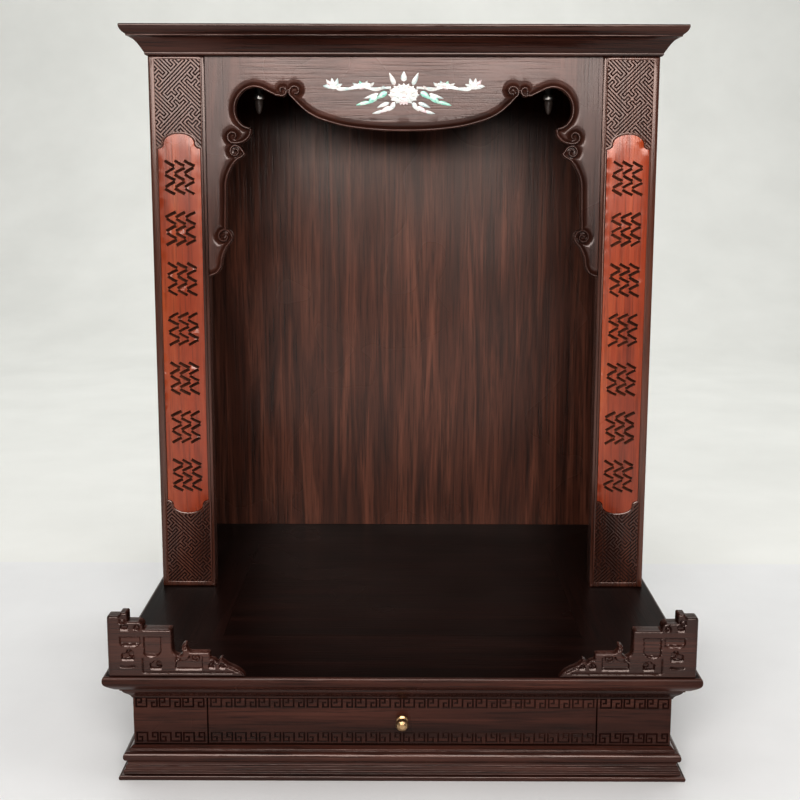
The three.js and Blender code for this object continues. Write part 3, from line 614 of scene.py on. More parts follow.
under_profile = [
    (0.9, 0.1), (1.3, 1.4), (2.2, 3.0), (3.8, 4.8), (6.0, 6.6), (8.2, 8.8), (9.4, 10.8),
    (9.8, 11.6), (11.2, 11.8), (11.3, 13.3),
]
moulding("ledge_cove", *BODY, BODY_TOP, under_profile, (17, 17, 17),
         ["ledge_moulding_front", "ledge_moulding_left", "ledge_moulding_right"])

CORNICE_FOOT = 754.3
cornice_profile = [
    (0.4, 0), (2.6, 1.0), (3.5, 2.6), (3.4, 4.0), (4.2, 5.0), (5.6, 7.2), (7.4, 10.0), (9.6, 13.2),
    (12.2, 16.2), (14.8, 18.6), (17.2, 20.2), (18.0, 20.6), (20.8, 20.9), (20.9, 22.6), (22.6, 23.8),
    (24.6, 25.4), (26.2, 27.4), (27.3, 29.6), (27.75, 31.6), (27.6, 33.0), (27.2, 33.6),
]
moulding("cornice_moulding", CABINET_HALF, FACE, CORNICE_FOOT, cornice_profile, (69.8, 69.8, 69.8),
         ["cornice_front", "cornice_left", "cornice_right", "cornice_back"])


# ----- key fret boards

KEY_MARGIN, KEY_WIDTH, KEY_HEIGHT = 3.2, 21.6, 9.4
TOP_KEYS, BOTTOM_KEYS = BODY_TOP - 10.1, 37.1
KEY_PATH = [(0.13, 0.5), (0.25, 0.5), (0.25, 1), (0, 1), (0, 0), (0.5, 0), (0.5, 1), (1, 1), (1, 0),
            (0.75, 0), (0.75, 0.5), (0.87, 0.5)]
GROOVE = 1.8


def rounded_edge(gap, radius):
    """How far a rounded edge falls back at this distance from the outline."""
    t = np.clip(1 - gap / radius, 0, 1)
    return radius * (1 - np.sqrt(np.clip(1 - t * t, 0, 1)))


def fret_board(name, node, count, body, groove_depth, groove_shade):
    low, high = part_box(node)
    x0, x1, z0, z1 = (v / MM for v in (low.x, high.x, low.z, high.z))
    y0, y1 = low.y / MM, high.y / MM
    pitch = (x1 - x0 - 2 * KEY_MARGIN - KEY_WIDTH) / (count - 1)
    centres, lines = [], []
    for i in range(count):
        for z, up in ((TOP_KEYS, True), (BOTTOM_KEYS, False)):
            key = [(x0 + KEY_MARGIN + i * pitch + u * KEY_WIDTH, z + (v if up else 1 - v) * KEY_HEIGHT)
                   for u, v in KEY_PATH]
            centres.append(key)
            lines += [key, closed_line(ribbon(key, GROOVE, GROOVE / 2))]
    loop = resample(rectangle(x0, x1, z0, z1), 6, True)
    edge = closed_line(loop)
    radius = 0.9
    lines += [frame_line(x0, x1, z0, z1, inset, 6) for inset in (0.15, 0.45, radius)]

    def depth(p):
        cut = groove_depth * np.clip(1 - distance_to(p, centres) / (GROOVE / 2), 0, 1)
        return np.maximum(cut, rounded_edge(distance_to(p, [edge]), radius))

    # the faces inside the grooves take the second, darker wood: painted shade
    def in_shaded_groove(p):
        return distance_to(p, centres) < GROOVE * 0.46

    part = relief([loop], lines, [], depth, y0, y1, paint=in_shaded_groove)
    mesh_piece(name, [part], [rosewood_x, groove_shade], [node], body, 28)


fret_board("drawer_face", "drawer_front", 16, "drawer", 0.6, shaded_groove_wood)
fret_board("side_face_left", "base_panel_left", 3, "cabinet", 1.0, shaded_sunk_wood)
fret_board("side_face_right", "base_panel_right", 3, "cabinet", 1.0, shaded_sunk_wood)


# ----- knob

def knob():
    low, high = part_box("drawer_knob")
    y0 = high.y / MM
    cz = (low.z + high.z) / 2 / MM

    def place(a, b, h):
        return a, y0 - h, cz + b

    rose = lathe([(0.01, 0), (6.2, 0), (6.3, 0.6), (5.6, 1.5), (3.4, 2.4), (2.9, 3.2), (2.8, 5.6),
                  (3.6, 6.6)], 28, place)
    ball = lathe([(3.4, 6.2), (5.6, 7.8), (6.95, 10.2), (6.9, 11.6), (5.5, 14.2), (3.3, 15.7),
                  (2.8, 16.0), (0.01, 16.15)], 10, place, 0.5)
    return mesh_piece("knob_turned", [rose, ball], [brass], ["drawer_knob"], "drawer", 20)


soften(knob(), 0.25, 18)


# ----- posts

POST_BACK = FACE + 24
FIELD = 25.9  # half the width of the lattice
RIB_PITCH = 3.3
RIB_TOP, RIB_FOOT = 0.27, 0.34  # half widths of a rib, in rib pitches
LATTICE_SUNK, LATTICE_DEPTH = 0.25, 1.9
TOP_CENTRE, LOW_CENTRE = (265.2, 707.4), (288, 146)  # a hooked cross of each field, on the right
LOW_FIELD = LEDGE + 6.4, LEDGE + 112
TOP_FIELD = LEDGE + 529, LEDGE + 633.2
BED = FACE + 5.4  # what the ribs and the rim stand on
REBATE, REBATE_DEPTH = 1.75, 2.4  # half the width of the groove along the inner edge

# One quarter of a hooked cross of the wan lattice. The pattern is this quarter turned four
# times round each centre, and mirrored from one centre to the next.
QUARTER = [
    [(0, 0), (0, 2), (-2, 2), (-2, 4), (5, 4)],
    [(-1, 3), (5, 3)], [(1, 3), (1, 1)], [(-3, 5), (5, 5)],
]


def rib_cells():
    """The segments of one 20 by 20 repeat of the lattice, in units of the rib pitch."""
    out = []
    for ci, cj in ((0, 0), (1, 0), (0, 1), (1, 1)):
        hand = 1 if (ci + cj) % 2 == 0 else -1
        for turn in range(4):
            for line in QUARTER:
                pts = []
                for x, y in line:
                    x *= hand
                    for _ in range(turn):
                        x, y = y, -x
                    pts.append((x + 10 * ci, y + 10 * cj))
                out += list(zip(pts[:-1], pts[1:]))
    return out


def on_rib(grid, half):
    """For each point of grid (in rib pitches), whether it lies on a rib."""
    p = np.mod(grid, 20)
    hit = np.zeros(len(p), bool)
    for ends in rib_cells():
        low = np.min(ends, axis=0) - half - 1e-6
        high = np.max(ends, axis=0) + half + 1e-6
        for dx in (-20, 0, 20):
            for dy in (-20, 0, 20):
                q = p + (dx, dy)
                hit |= ((q >= low) & (q <= high)).all(1)
    return hit


def lattice(cx, z0, z1, origin):
    """A sheet of raised diagonal ribs that fills x = cx +- FIELD and z0 to z1, but not the inset."""
    reach = int((z1 - z0 + 2 * FIELD) / RIB_PITCH) + 4
    across, up = cx - origin[0], (z0 + z1) / 2 - origin[1]
    start = [round((way * across + up) / (math.sqrt(2) * RIB_PITCH)) for way in (1, -1)]
    axes = [np.array([k + m for k in range(mid - reach, mid + reach)
                      for m in (-RIB_FOOT, -RIB_TOP, RIB_TOP, RIB_FOOT)]) for mid in start]
    side = len(axes[1])
    gx, gy = np.meshgrid(*axes, indexing="ij")
    grid = np.stack([gx.ravel(), gy.ravel()], 1)
    turn = math.sqrt(0.5) * RIB_PITCH
    x = origin[0] + (grid[:, 0] - grid[:, 1]) * turn
    z = origin[1] + (grid[:, 0] + grid[:, 1]) * turn
    near = (np.abs(x - cx) < FIELD + 1.6) & (z > z0 - 1.6) & (z < z1 + 1.6)
    near[near] = ~inside(np.stack([x[near], z[near]], 1), [inset_outline(cx, 0.8)])
    top = np.zeros(len(grid), bool)
    top[near] = on_rib(grid[near], RIB_TOP)
    y = np.where(top, FACE + LATTICE_SUNK, FACE + LATTICE_SUNK + LATTICE_DEPTH)
    near = near.reshape(-1, side)
    keep = near[:-1, :-1] & near[1:, :-1] & near[:-1, 1:] & near[1:, 1:]
    used, verts, faces, paint = {}, [], [], []
    for i, j in zip(*np.nonzero(keep)):
        keys = [int(a) * side + int(b) for a, b in ((i, j), (i + 1, j), (i + 1, j + 1), (i, j + 1))]
        for key in keys:
            if key not in used:
                used[key] = len(verts)
                verts.append((x[key], y[key], z[key]))
        faces.append(tuple(used[key] for key in keys))
        # the ground between the ribs takes the darker wood: painted shade
        paint.append(0 if top[keys].any() else 1)
    return verts, faces, paint


INSET_HALF = 24.5
INSET_TOP, INSET_FOOT = (531, 549), (110.5, 94)  # shoulder and tip, over the ledge
NOTCH = [(0, 0), (-1.2, 0.9), (-3.2, 1.3), (-4.9, 2.1), (-6.2, 3.5), (-6.9, 5.2), (-7.0, 7.0)]


def inset_outline(cx, grow):
    w = INSET_HALF + grow
    steps = 14

    def end(shoulder, apex, up):
        side = [(w + x, shoulder + up * z) for x, z in NOTCH]
        half_crown, foot = side[-1]
        crown = []
        for k in range(1, steps):
            t = math.cos(math.pi / 2 * k / steps)
            crown.append((half_crown * t, foot + (apex - foot) * math.sqrt(1 - t * t)))
        half = side + crown
        return half + [(0, apex)] + flip(half)[::-1]

    top = end(INSET_TOP[0] + grow, INSET_TOP[1] + grow, 1)
    bottom = end(INSET_FOOT[0] - grow, INSET_FOOT[1] - grow, -1)
    return [(cx + x, z + LEDGE) for x, z in top + bottom[::-1]]


def post(side, sign):
    cx = sign * INSET_X
    low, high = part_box(f"post_{side}")
    x0, x1, z0, z1 = (v / MM for v in (low.x, high.x, low.z, high.z))
    groove = sign * (POST_INNER + REBATE)
    field = (cx - FIELD, cx + FIELD, LOW_FIELD[0], TOP_FIELD[1])
    loop = resample(rectangle(x0, x1, z0, z1), 12, True)
    hole = resample(rectangle(*field), 12, True)
    lines = []
    radius = 1.1
    for inset in (0.2, 0.55, radius):
        lines += [frame_line(x0, x1, z0, z1, inset, 12), frame_line(*field, -inset, 12)]
    for step in (-1.4, 0, 1.3, REBATE):
        x = groove + sign * step
        lines.append(resample([(x, z0 + 1.5), (x, z1 - 1.5)], 12))
    edges = [closed_line(loop), closed_line(hole)]
    channel = [[(groove, z0 + 1.5), (groove, z1 - 1.5)]]

    def depth(p):
        cut = REBATE_DEPTH * np.clip((REBATE - distance_to(p, channel)) / 0.45, 0, 1)
        return np.maximum(cut, rounded_edge(distance_to(p, edges), radius))

    parts = [
        relief([loop, hole], lines, [], depth, FACE, POST_BACK),
        block(cx - FIELD - 2, cx + FIELD + 2, BED, POST_BACK - 0.2, z0 + 1, z1 - 1),
        lattice(cx, *TOP_FIELD, (sign * TOP_CENTRE[0], TOP_CENTRE[1])),
        lattice(cx, *LOW_FIELD, (sign * LOW_CENTRE[0], LOW_CENTRE[1])),
        bead(inset_outline(cx, 1.75), 3.3, 1.1, FACE + 0.05, BED, closed=True),
    ]
    mesh_piece(f"post_carved_{side}", parts, [carved, shaded_sunk_wood],
               [f"post_{side}"], angle=35)


GROUPS, ROWS, COLUMNS = 7, 5, 3
FIRST_GROUP, GROUP_STEP, ROW_STEP, COLUMN_STEP = LEDGE + 499, 59.7, 8.1, 11.4
STROKE_DEPTH = 1.5


def couplet(side, sign):
    """The red inset, with rows of shallow strokes where its couplet stood."""
    cx = sign * INSET_X
    loop = resample(inset_outline(cx, 0.3), 8, True)
    edge = closed_line(loop)
    strokes, lines = [], []
    for group in range(GROUPS):
        for row in range(ROWS):
            lean = 1 if (row + group) % 2 else -1
            for column in range(COLUMNS):
                x = cx + (column - 1) * COLUMN_STEP + rng.uniform(-0.4, 0.4)
                z = FIRST_GROUP - group * GROUP_STEP + (2 - row) * ROW_STEP + rng.uniform(-0.3, 0.3)
                a, b = 4.3 + rng.uniform(-0.4, 0.4), 2.3 * lean
                stroke = [(x - a, z - b), (x, z + 0.25 * lean), (x + a, z + b)]
                width = rng.uniform(3.0, 3.8)
                strokes.append((stroke, width))
                lines += [stroke, closed_line(ribbon(stroke, width, width / 2))]

    def cut(p):
        best = np.zeros(len(p))
        for stroke, width in strokes:
            near = np.abs(p[:, 1] - stroke[1][1]) < 8
            if near.any():
                share = np.clip(1 - distance_to(p[near], [stroke]) / (width / 2), 0, 1)
                best[near] = np.maximum(best[near], STROKE_DEPTH * share)
        return best

    def depth(p):
        return np.maximum(cut(p), rounded_edge(distance_to(p, [edge]), 0.5))

    points = hex_points(cx - 24, cx + 24, LEDGE + 96, LEDGE + 547, 9)
    part = relief([loop], lines, points, depth, FACE + 0.5, FACE + 5, paint=lambda p: cut(p) > 0.02)
    mesh_piece(f"couplet_{side}", [part], [red_wood, stroke_wood],
               [f"couplet_inset_{side}"], angle=25)


for side, sign in SIDES:
    post(side, sign)
    couplet(side, sign)


# ----- apron

APRON_Y = FACE + 3
APRON_BACK = APRON_Y + 15
BEAD, BEAD_RISE = 2.7, 1.5
APRON_FACE = APRON_Y + BEAD_RISE
HOLLOW, HOLLOW_REACH = 4.2, 6.8  # depth and width of the hollow beside the beads

tail = smooth([(230.6, 384), (222.5, 387.4), (217.6, 395), (215.8, 406), (211.4, 416.4), (205.8, 423.4)], 22)
low_volute = volute(212.6, 430, 9.6, 1.8, 205, -310, 46)
upright = [(211.4, 438.8), (210.6, 465), (210, 492)] + smooth(
    [(210, 492), (207.5, 502), (202.2, 513), (196.4, 519.8), (189.5, 524), (187, 527)], 18)[1:]
mid_volute = volute(197.6, 529.2, 7.4, 1.7, 150, -350, 38)
leaf_curl = smooth([(179.2, 555.2), (180.4, 548.6), (184.6, 543.4), (190, 540.2), (196.4, 539)], 14) \
    + volute(199.8, 546.6, 7.6, 2.6, -90, 225, 26)[1:]
arch = smooth([(180.4, 555.6), (187.2, 557.8), (192.4, 562), (196.6, 569), (197.9, 577), (196.7, 585.8),
               (192.3, 594.4), (184.9, 601), (175.4, 603.9), (165.9, 602.4), (156.6, 598), (148.4, 594)], 52)
arch_volute = volute(141.6, 599, 6.2, 2.0, -50, -400, 30)
lobe = smooth([(0, 554), (24, 554.5), (48.3, 556.4), (73, 560.2), (97.6, 567.4), (111.2, 574.4),
               (121.6, 583), (130, 591.6)], 44)
lobe_volute = volute(126.4, 598.4, 7.6, 2.3, -40, 290, 30)


def apron_edge():
    """The cut edge from the post to the middle, through the outer turns of the volutes."""
    return (tail + low_volute[:12] + upright + mid_volute[:7] + leaf_curl[:12][::-1] + arch
            + arch_volute[:9] + lobe_volute[:4][::-1] + lobe[::-1])


def apron():
    half = POST_INNER - 0.3
    foot, top = tail[0][1], CORNICE_FOOT - 0.3 - LEDGE
    right = apron_edge()
    loop = [(half, foot)] + right + flip(right)[::-1][1:] + [(-half, foot), (-half, top), (half, top)]
    loop = resample(lift(loop), 8, True)[::-1]
    runs = [tail + low_volute, upright + mid_volute, leaf_curl, arch + arch_volute, lobe + lobe_volute]
    lines = [line for run in runs for line in (run, flip(run))]
    both = [lift(resample(line, 2)) for line in lines]

    def depth(p):
        t = np.clip((distance_to(p, both) - 1.0) / HOLLOW_REACH, 0, 1)
        return BEAD_RISE + HOLLOW * (1 - t) ** 1.7

    def grid(step):
        return np.array(hex_points(-half + 1, half - 1, LEDGE + 384, LEDGE + top - 1, step))

    fine, coarse = grid(1.7), grid(9)
    near = distance_to(fine, both)
    points = np.concatenate([fine[(near < 9.5) & (near > 0.5)], coarse[distance_to(coarse, both) > 10]])
    points = points[inside(points, [loop])]
    points = points[distance_to(points, [closed_line(loop)]) > 0.6]
    parts = [relief([loop], [], points, depth, APRON_Y, APRON_BACK)]
    parts += [bead(lift(resample(line, 2.5)), BEAD, BEAD_RISE, APRON_Y, APRON_BACK, taper=0.55)
              for line in lines]
    mesh_piece("apron_carved", parts, [apron_wood], ["apron"], angle=40)


apron()


# ----- lotus inlay

def petal(base, tip, width, bend=0.0):
    """A pointed leaf from base to tip, bent to one side."""
    steps = 9
    bx, bz = base
    dx, dz = tip[0] - bx, tip[1] - bz
    length = math.hypot(dx, dz)
    ux, uz = dx / length, dz / length
    left, right = [], []
    for k in range(1, steps):
        t = k / steps
        w = width / 2 * math.sin(math.pi * t ** 0.62) ** 0.8
        c = bend * math.sin(math.pi * t)
        px, pz = bx + ux * length * t - uz * c, bz + uz * length * t + ux * c
        left.append((px - uz * w, pz + ux * w))
        right.append((px + uz * w, pz - ux * w))
    return [base] + right + [tip] + left[::-1]


def inlay_leaf(outline, y, colour, dome=0.5):
    """A thin piece of shell: a slightly domed face inside a low wall."""
    p = np.array(lift(outline))
    middle = p.mean(0)
    if np.sum(p[:, 0] * np.roll(p[:, 1], -1) - np.roll(p[:, 0], -1) * p[:, 1]) < 0:
        p = p[::-1]
    n = len(p)
    inner = middle + (p - middle) * 0.72
    verts = [(x, y + 2, z) for x, z in p] + [(x, y, z) for x, z in p]
    verts += [(x, y - dome * 0.5, z) for x, z in inner] + [(middle[0], y - dome * 0.62, middle[1])]
    faces = []
    for i in range(n):
        j = (i + 1) % n
        faces += [(i, j, n + j, n + i), (n + i, n + j, 2 * n + j, 2 * n + i), (2 * n + i, 2 * n + j, 3 * n)]
    return verts, faces, colour


WHITE, MINT, PINK = 0, 1, 2


def oval(cx, cz, half_width, half_height, sides=22):
    angles = [2 * math.pi * k / sides for k in range(sides)]
    return [(cx + half_width * math.cos(a), cz + half_height * math.sin(a)) for a in angles]


def lotus():
    """Buds, a full flower, two stems with their end flowers and leaves, as (outline, tint, rise)."""
    leaves = [(petal((0, 609.4), (0, 621.4), 7.0), WHITE, 0),
              (petal((10.2, 605.4), (17.0, 619.6), 5.6), WHITE, 0), (oval(0, 595.0, 16.4, 10.6), WHITE, 0)]
    for ring, (scale, rise, wide) in enumerate(((1.0, 0.3, 6.6), (0.66, 0.6, 5.4))):
        for angle, reach in ((90, 14.2), (66, 14.6), (42, 16.2), (20, 18.0), (0, 18.6), (-22, 16.6),
                             (-46, 13.8), (-70, 12.4), (-90, 12.0)):
            a = math.radians(angle + 9 * ring * (abs(angle) < 80))
            tip = (reach * scale * math.cos(a), 594.2 + reach * scale * 0.97 * math.sin(a))
            tint = PINK if angle < -60 and ring == 0 else WHITE
            leaves.append((petal((2.2 * math.cos(a), 593.4 + 2.2 * math.sin(a)), tip, wide), tint, rise))
    stem = smooth([(15, 602.6), (24, 601.8), (30.5, 599.8), (37, 600.4), (42, 604.6), (49.6, 605.4),
                   (57, 603.8), (66, 600.6), (74.5, 599.9), (79, 602)], 34)
    leaves += [(ribbon(stem, 2.4), WHITE, 0), (oval(45.8, 605.6, 8.6, 2.7), WHITE, 0.2),
               (oval(82, 604.6, 7.4, 4.2), WHITE, 0.2)]
    for base, tip, w, tint in (
            ((40, 604.6), (34.4, 608.4), 3.8, WHITE), ((45, 606), (42.6, 610.4), 3.8, WHITE),
            ((50, 606), (51.6, 610.2), 3.6, MINT), ((54, 604.8), (59.6, 607.6), 3.4, WHITE),
            ((44, 604.4), (52, 600.6), 3.2, PINK), ((26, 600.4), (22.4, 604.8), 3.0, WHITE),
            ((78, 602.6), (71.4, 606.6), 4.2, WHITE), ((80, 603.2), (76.6, 613.2), 5.4, WHITE),
            ((82.4, 603.6), (83.6, 613.4), 5.4, WHITE), ((84, 603.4), (90.4, 611.6), 5.4, PINK),
            ((84.6, 602.6), (94.4, 604.2), 5.0, WHITE),
            ((19.6, 597.6), (31.6, 589.4), 6.6, MINT), ((30.8, 592.8), (41.8, 584.0), 7.4, MINT),
            ((40, 586.2), (56.0, 582.2), 4.4, MINT), ((29.4, 595.6), (46.6, 590.2), 4.4, WHITE),
            ((10.6, 585.8), (17.8, 575.6), 5.6, WHITE), ((15.4, 580.6), (28.4, 573.4), 5.4, PINK),
            ((24.6, 576.2), (37.0, 573.0), 3.8, WHITE), ((17.0, 585.4), (31.6, 579.4), 4.6, WHITE)):
        leaves.append((petal(base, tip, w, bend=rng.uniform(-0.6, 0.6)), tint, 0.3))
    parts = []
    y = APRON_FACE - 0.05
    for outline, tint, rise in leaves:
        lone = abs(sum(x for x, _ in outline)) < 1e-3 * len(outline)
        for one in ([outline] if lone else [outline, flip(outline)]):
            parts.append(inlay_leaf(one, y - rise, tint, 0.8))
    parts.append(inlay_leaf(oval(0, 593.0, 3.2, 2.8, 14), y - 0.9, PINK))
    mesh_piece("lotus_shell", parts, [pearl, pearl_mint, pearl_pink], ["lotus_inlay"],
               angle=50)


lotus()


# ----- corner frets

# Drawn from the outer side (u) and up from the ledge (v).
fret_outline = [
    (0, 0), (0, 61.4), (0.6, 63.2), (2, 64), (11.2, 64), (12.5, 65), (13.4, 66.9), (14.3, 67.5),
    (19.4, 67.5), (20.5, 66.9), (20.8, 65.7), (20.8, 58.1), (28, 58), *arc(30.8, 52.4, 5.6, 90, -20, 9),
    (37, 49.9), (63.2, 49.8), (64.6, 49.2), (65, 47.8), (65, 30), (65.6, 27.6), (67.4, 25), (70, 23.1),
    (72.6, 22.6), (74.8, 23.6), (75.5, 25.6), (74.9, 28), (74.7, 30.4), (75.1, 32.8), (76.4, 34.8),
    (78.2, 35.8), (80.2, 35.5), (80.6, 34.4), (79.6, 33.2), (79.8, 31), (81.2, 28.4), (83.4, 26.4),
    (84.6, 26.2), (101.8, 26.2), (103.1, 25.7), (103.4, 24.5), (103.4, 20.2), (104.2, 19.3), (106.6, 18.8),
    (108.8, 17.6), (110.2, 15.9), (111, 15.7), (111.6, 17.2), (112.8, 19), (114.4, 20.1), (115.8, 20.4),
    (115.9, 19.4), (115.5, 18), (116.4, 16.9), (118.4, 15.5), (120.6, 13.6), (124.4, 11.6), (128.4, 10),
    (131.4, 8.4), (134.4, 6.2), (136.6, 3.8), (138.2, 1.6), (139, 0)]
fret_fields = [
    [(12.8, 48.2), (21.7, 48.2), (21.3, 54.8), (13.6, 54.8)],
    [(12, 35.6), (13.6, 33), (18, 31.6), (23, 31.8), (27.4, 31.4), (31, 32.4), (33.4, 34), (33.4, 42.4),
     (12, 42.4)],
    [(13.8, 16.6), (26.6, 16.6), (27, 22), (26.4, 26.6), (23.2, 29.4), (19.2, 28.8), (18.4, 25.6),
     (13.8, 24.8)],
    [(36.3, 23.8), (38.4, 21.8), (41, 20.6), (44, 20.2), (47.6, 20.8), (51.4, 22.8), (54.4, 26.2),
     (54.6, 42.4), (36.3, 42.4)],
    [(42.3, 6.8), (54.8, 6.8), (54.8, 13), (53.4, 16.8), (50, 18.2), (46.2, 17.6), (44.2, 15), (42.3, 14.6)],
    [(67.6, 6.8), (96, 6.8), (96.2, 21.4), (94.8, 22.8), (82, 22.8), (80.6, 19.6), (77.4, 17.8),
     (70.2, 17.2), (68.4, 15)],
    [(101.6, 7.8), (109, 7.8), (109.4, 12.4), (107.2, 15), (103.2, 15.4), (101.4, 13)],
    [(112.4, 7.6), (118.8, 7.6), (119.2, 11.6), (116.8, 14.6), (114.2, 14.8), (112.4, 12.4)],
]
fret_curls = [  # points, steps, width
    ([(26.2, 27.6), (22.6, 26.4), (20.6, 23.4), (21.8, 20.8), (24, 21.2)], 16, 2.0),
    ([(54, 16.8), (50.6, 15.2), (48.8, 12.8), (50, 10.8), (52, 11.2)], 16, 2.0),
    ([(84.6, 24), (84.2, 20), (85.8, 17.4), (88.8, 16.6), (91.4, 18.2), (91.6, 20.4), (89.8, 21)], 24, 2.6),
    ([(108.8, 13.6), (105.8, 12.6), (105, 10.6), (106.8, 9.8)], 12, 1.8),
    ([(118.4, 13), (116, 12.4), (115, 10.6), (116.4, 9.8)], 12, 1.8),
]
fret_grooves = [
    [(35, 20), (35, 6), (36.6, 4.5), (60, 4.5), (98, 4.5), (126, 4.5)],
    smooth([(12.6, 10.8), (18, 10.2), (26.5, 11.2)], 8),
    smooth([(12.8, 60.4), (12.6, 57.6), (15, 56.6), (17.6, 57.6), (17.8, 60), (16, 61)], 14),
    volute(30.6, 51.6, 3.6, 1.0, 200, -140, 16),
    volute(71.6, 18.6, 3.2, 1.0, 120, 430, 14),
    volute(78, 30.2, 2.2, 0.8, 200, -100, 8),
    volute(105.6, 17.0, 2.2, 0.7, 150, -160, 10),
    [(121, 10.4), (126, 8.2), (131, 5.6)],
]
FIELD_DEPTH, WALL_RUN = 2.7, 1.3
FIELD_SLOPE, SILL, SILL_DROP = 0.46, 2.5, 2.0  # slope, reach and then drop of the sills
CURVE_DEPTH, CURVE_HALF = 1.3, 1.35  # of the drawn grooves
FRET_LENGTH, FRET_HEIGHT = 139, 64
FRET_TIP, TIP_THICKNESS = 66, 9  # from here on the board is thinner


def corner_fret(side, sign):
    low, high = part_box(f"corner_fret_{side}")
    y0, y1 = low.y / MM, high.y / MM
    edge_x = max(abs(low.x), abs(high.x)) / MM
    base_z = low.z / MM

    def place(points):
        return [(sign * (edge_x - u), base_z + v) for u, v in points]

    loop = resample(place(fret_outline), 2.2, True)
    edge = closed_line(loop)
    fields = [resample(place(line), 2, True) for line in fret_fields]
    field_edges = [closed_line(line) for line in fields]
    curls = [(resample(place(smooth(line, steps)), 1), width) for line, steps, width in fret_curls]
    grooves = [resample(place(line), 1.4) for line in fret_grooves]
    radius, sink = 2.4, 2.2

    def both_sides(line, gaps):
        return [q for gap in gaps for way in (-1, 1) for q in offset(line, way * gap, True)]

    points = both_sides(loop, (0.35, 0.9, 1.6, radius))
    for line in fields:
        points += both_sides(line, (-0.3, 0, 0.35, 0.7, 1.3, 2.4))
    for line, width in curls:
        for way in (-1, -0.7, -0.35, 0, 0.35, 0.7, 1):
            points += offset(line, way * width / 2)
    for line in grooves:
        for way in (-1.3, -0.7, 0, 0.7, 1.3):
            points += offset(line, way)
    left = min(sign * edge_x, sign * (edge_x - FRET_LENGTH))
    points += hex_points(left, left + FRET_LENGTH, base_z, base_z + FRET_HEIGHT, 1.6)
    points = np.array(points)
    points = points[inside(points, [loop])]
    points = points[distance_to(points, [edge]) > 0.25]
    points = points[np.unique(np.round(points / 0.3), axis=0, return_index=True)[1]]

    def depth(p):
        gap = distance_to(p, [edge])
        rim = sink * (rounded_edge(gap, radius) / radius)
        cut = CURVE_DEPTH * np.clip(1 - distance_to(p, grooves) / CURVE_HALF, 0, 1) ** 0.8
        face = np.maximum(rim, cut)
        for line, border in zip(fields, field_edges):
            within = inside(p, [line])
            away = distance_to(p, [border])
            foot = min(z for _, z in line)
            wall = np.clip(away / WALL_RUN, 0, 1) ** 0.7 * FIELD_DEPTH
            climb = p[:, 1] - foot
            sill = 0.1 + climb * FIELD_SLOPE + np.clip((climb - SILL) / 0.7, 0, 1) * SILL_DROP
            face = np.where(within, np.minimum(wall, sill), face)
        for line, width in curls:
            t = np.clip(distance_to(p, [line]) / (width / 2), 0, 1)
            crest = 0.3 + (FIELD_DEPTH - 0.2) * (1 - np.sqrt(1 - t * t))
            face = np.where(t < 1, np.minimum(face, crest), face)
        return face

    def rear(x, z):
        return y1 if edge_x - sign * x < FRET_TIP else y0 + TIP_THICKNESS

    part = relief([loop], [], points, depth, y0, rear)
    mesh_piece(f"fret_carved_{side}", [part], [fret_wood],
               [f"corner_fret_{side}"], angle=50)


for side, sign in SIDES:
    corner_fret(side, sign)


# ----- lamps

def lamp(side):
    low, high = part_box(f"lamp_holder_{side}")
    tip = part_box(f"lamp_bulb_{side}")[0].z / MM
    cx, cy = (low.x + high.x) / 2 / MM, (low.y + high.y) / 2 / MM
    collar, top = low.z / MM, high.z / MM

    def turned(foot, profile):
        return lathe(profile, 28, lambda a, b, h: (cx + a, cy + b, foot + h))

    holder = turned(collar, [(5.0, 0), (6.2, 0.6), (6.8, 1.8), (6.8, 4.4), (6.0, 6.0), (4.9, 7.0)])
    # the stem takes the near-black painted shade
    stem = turned(top, [(4.9, collar + 7 - top), (4.9, -3), (7.9, -2), (7.9, 0)])
    bulb = turned(tip, [(0.3, 0), (1.3, 0.5), (2.3, 2.2), (3.4, 5.2), (4.4, 8.6), (5.0, 12), (5.1, 14.6),
                        (4.6, collar - 0.1 - tip)])
    mesh_piece(f"lamp_socket_{side}", [holder, (*stem[:2], 1)], [lamp_metal, lamp_stem_painted_shade],
               [f"lamp_holder_{side}"])
    mesh_piece(f"lamp_drop_{side}", [bulb], [lamp_glass], [f"lamp_bulb_{side}"])


for side, sign in SIDES:
    lamp(side)


# ----- stage, light and camera

def stage_sheet(name, profile, material):
    """A sheet across the stage, swept along a line of (y, z)."""
    mesh = bpy.data.meshes.new(name)
    verts = [(x, y, z) for y, z in profile for x in (-STAGE_HALF, STAGE_HALF)]
    mesh.from_pydata(verts, [], [(2 * k, 2 * k + 1, 2 * k + 3, 2 * k + 2) for k in range(len(profile) - 1)])
    mesh.shade_smooth()
    mesh.materials.append(material)
    sheet = add_object(name, mesh)


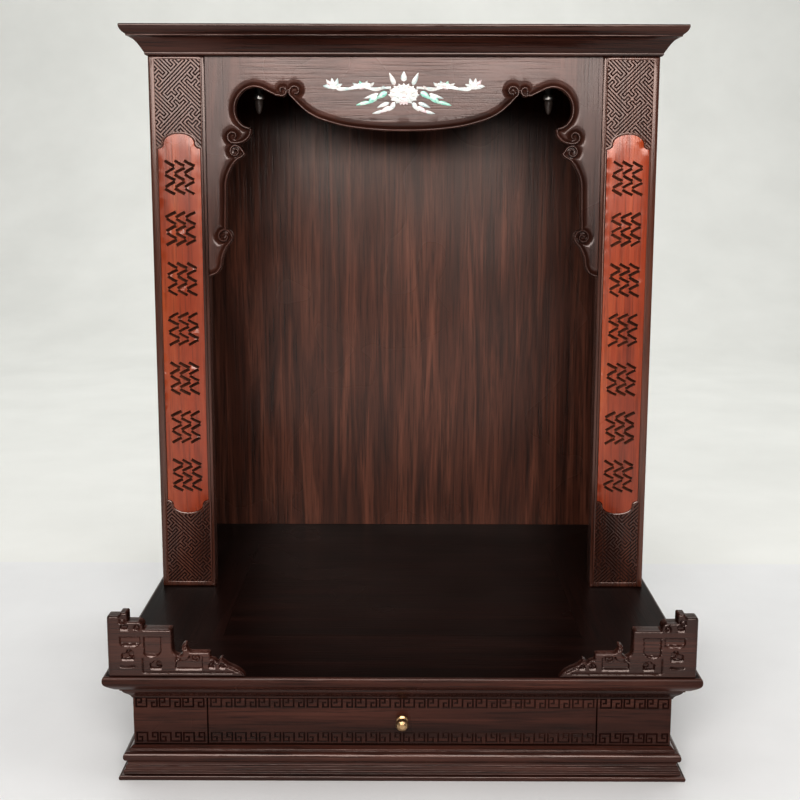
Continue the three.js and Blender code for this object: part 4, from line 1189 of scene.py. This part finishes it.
# The backdrop rises far enough behind the cabinet to leave its back in view.
STAGE_HALF = 5
FLOOR_EDGE, COVE, FAR = 0.48, 2.0, 4.6
stage_sheet("floor", [(-4.5, 0), (FLOOR_EDGE, 0)],
            ground("floor_paint", (0.78, 0.79, 0.80), (0.84, 0.85, 0.86), (0.5, 0.65)))
sweep = [(FLOOR_EDGE, 0), (1.5, 0), *arc(FAR - COVE, COVE, COVE, -90, 0, 24), (FAR, 5)]
stage_sheet("backdrop", sweep,
            ground("backdrop_paint", (0.80, 0.81, 0.79), (0.86, 0.87, 0.85), (0.7, 0.85)))


def area_light(name, location, target, size, energy, colour):
    data = bpy.data.lights.new(name, "AREA")
    data.shape = "RECTANGLE"
    data.size, data.size_y = size
    data.energy = energy
    data.color = colour
    light = add_object(name, data)
    light.location = location
    light.rotation_mode = "QUATERNION"
    light.rotation_quaternion = (Vector(target) - Vector(location)).to_track_quat("-Z", "Y")


area_light("softbox", (-0.1, -2.6, 1.4), (0, 0, 0.5), (2.0, 1.4), 88, (1.0, 0.965, 0.935))
area_light("top", (0, -0.2, 2.8), (0, 0.1, 0.3), (3.0, 2.0), 22, (1.0, 0.99, 0.975))
area_light("left_fill", (-2.4, -0.6, 1.3), (0, 0.3, 0.2), (1.2, 1.8), 6, (1.0, 0.995, 0.985))
area_light("right_fill", (2.4, -0.6, 1.3), (0, 0.3, 0.2), (1.2, 1.8), 11, (1.0, 0.995, 0.985))
area_light("backdrop", (0, 2.3, 3.0), (0, 2.6, 0), (5.0, 2.4), 91, (1.0, 0.995, 0.975))

world = bpy.data.worlds.new("studio")
scene.world = world
world.use_nodes = True
background = world.node_tree.nodes["Background"]
background.inputs[0].default_value = (1.0, 0.98, 0.96, 1)
background.inputs[1].default_value = 0.07
view = scene.view_settings
view.view_transform = "Standard"
view.gamma = 0.8

camera_data = bpy.data.cameras.new("camera")
camera_data.sensor_width = 36
camera_data.lens = 58.5
camera = add_object("camera", camera_data)
camera.location = (-0.0006, -1.549, 0.6197)
camera.rotation_euler = (math.radians(90) - 0.1716, -0.0023, 0.0023)
scene.camera = camera
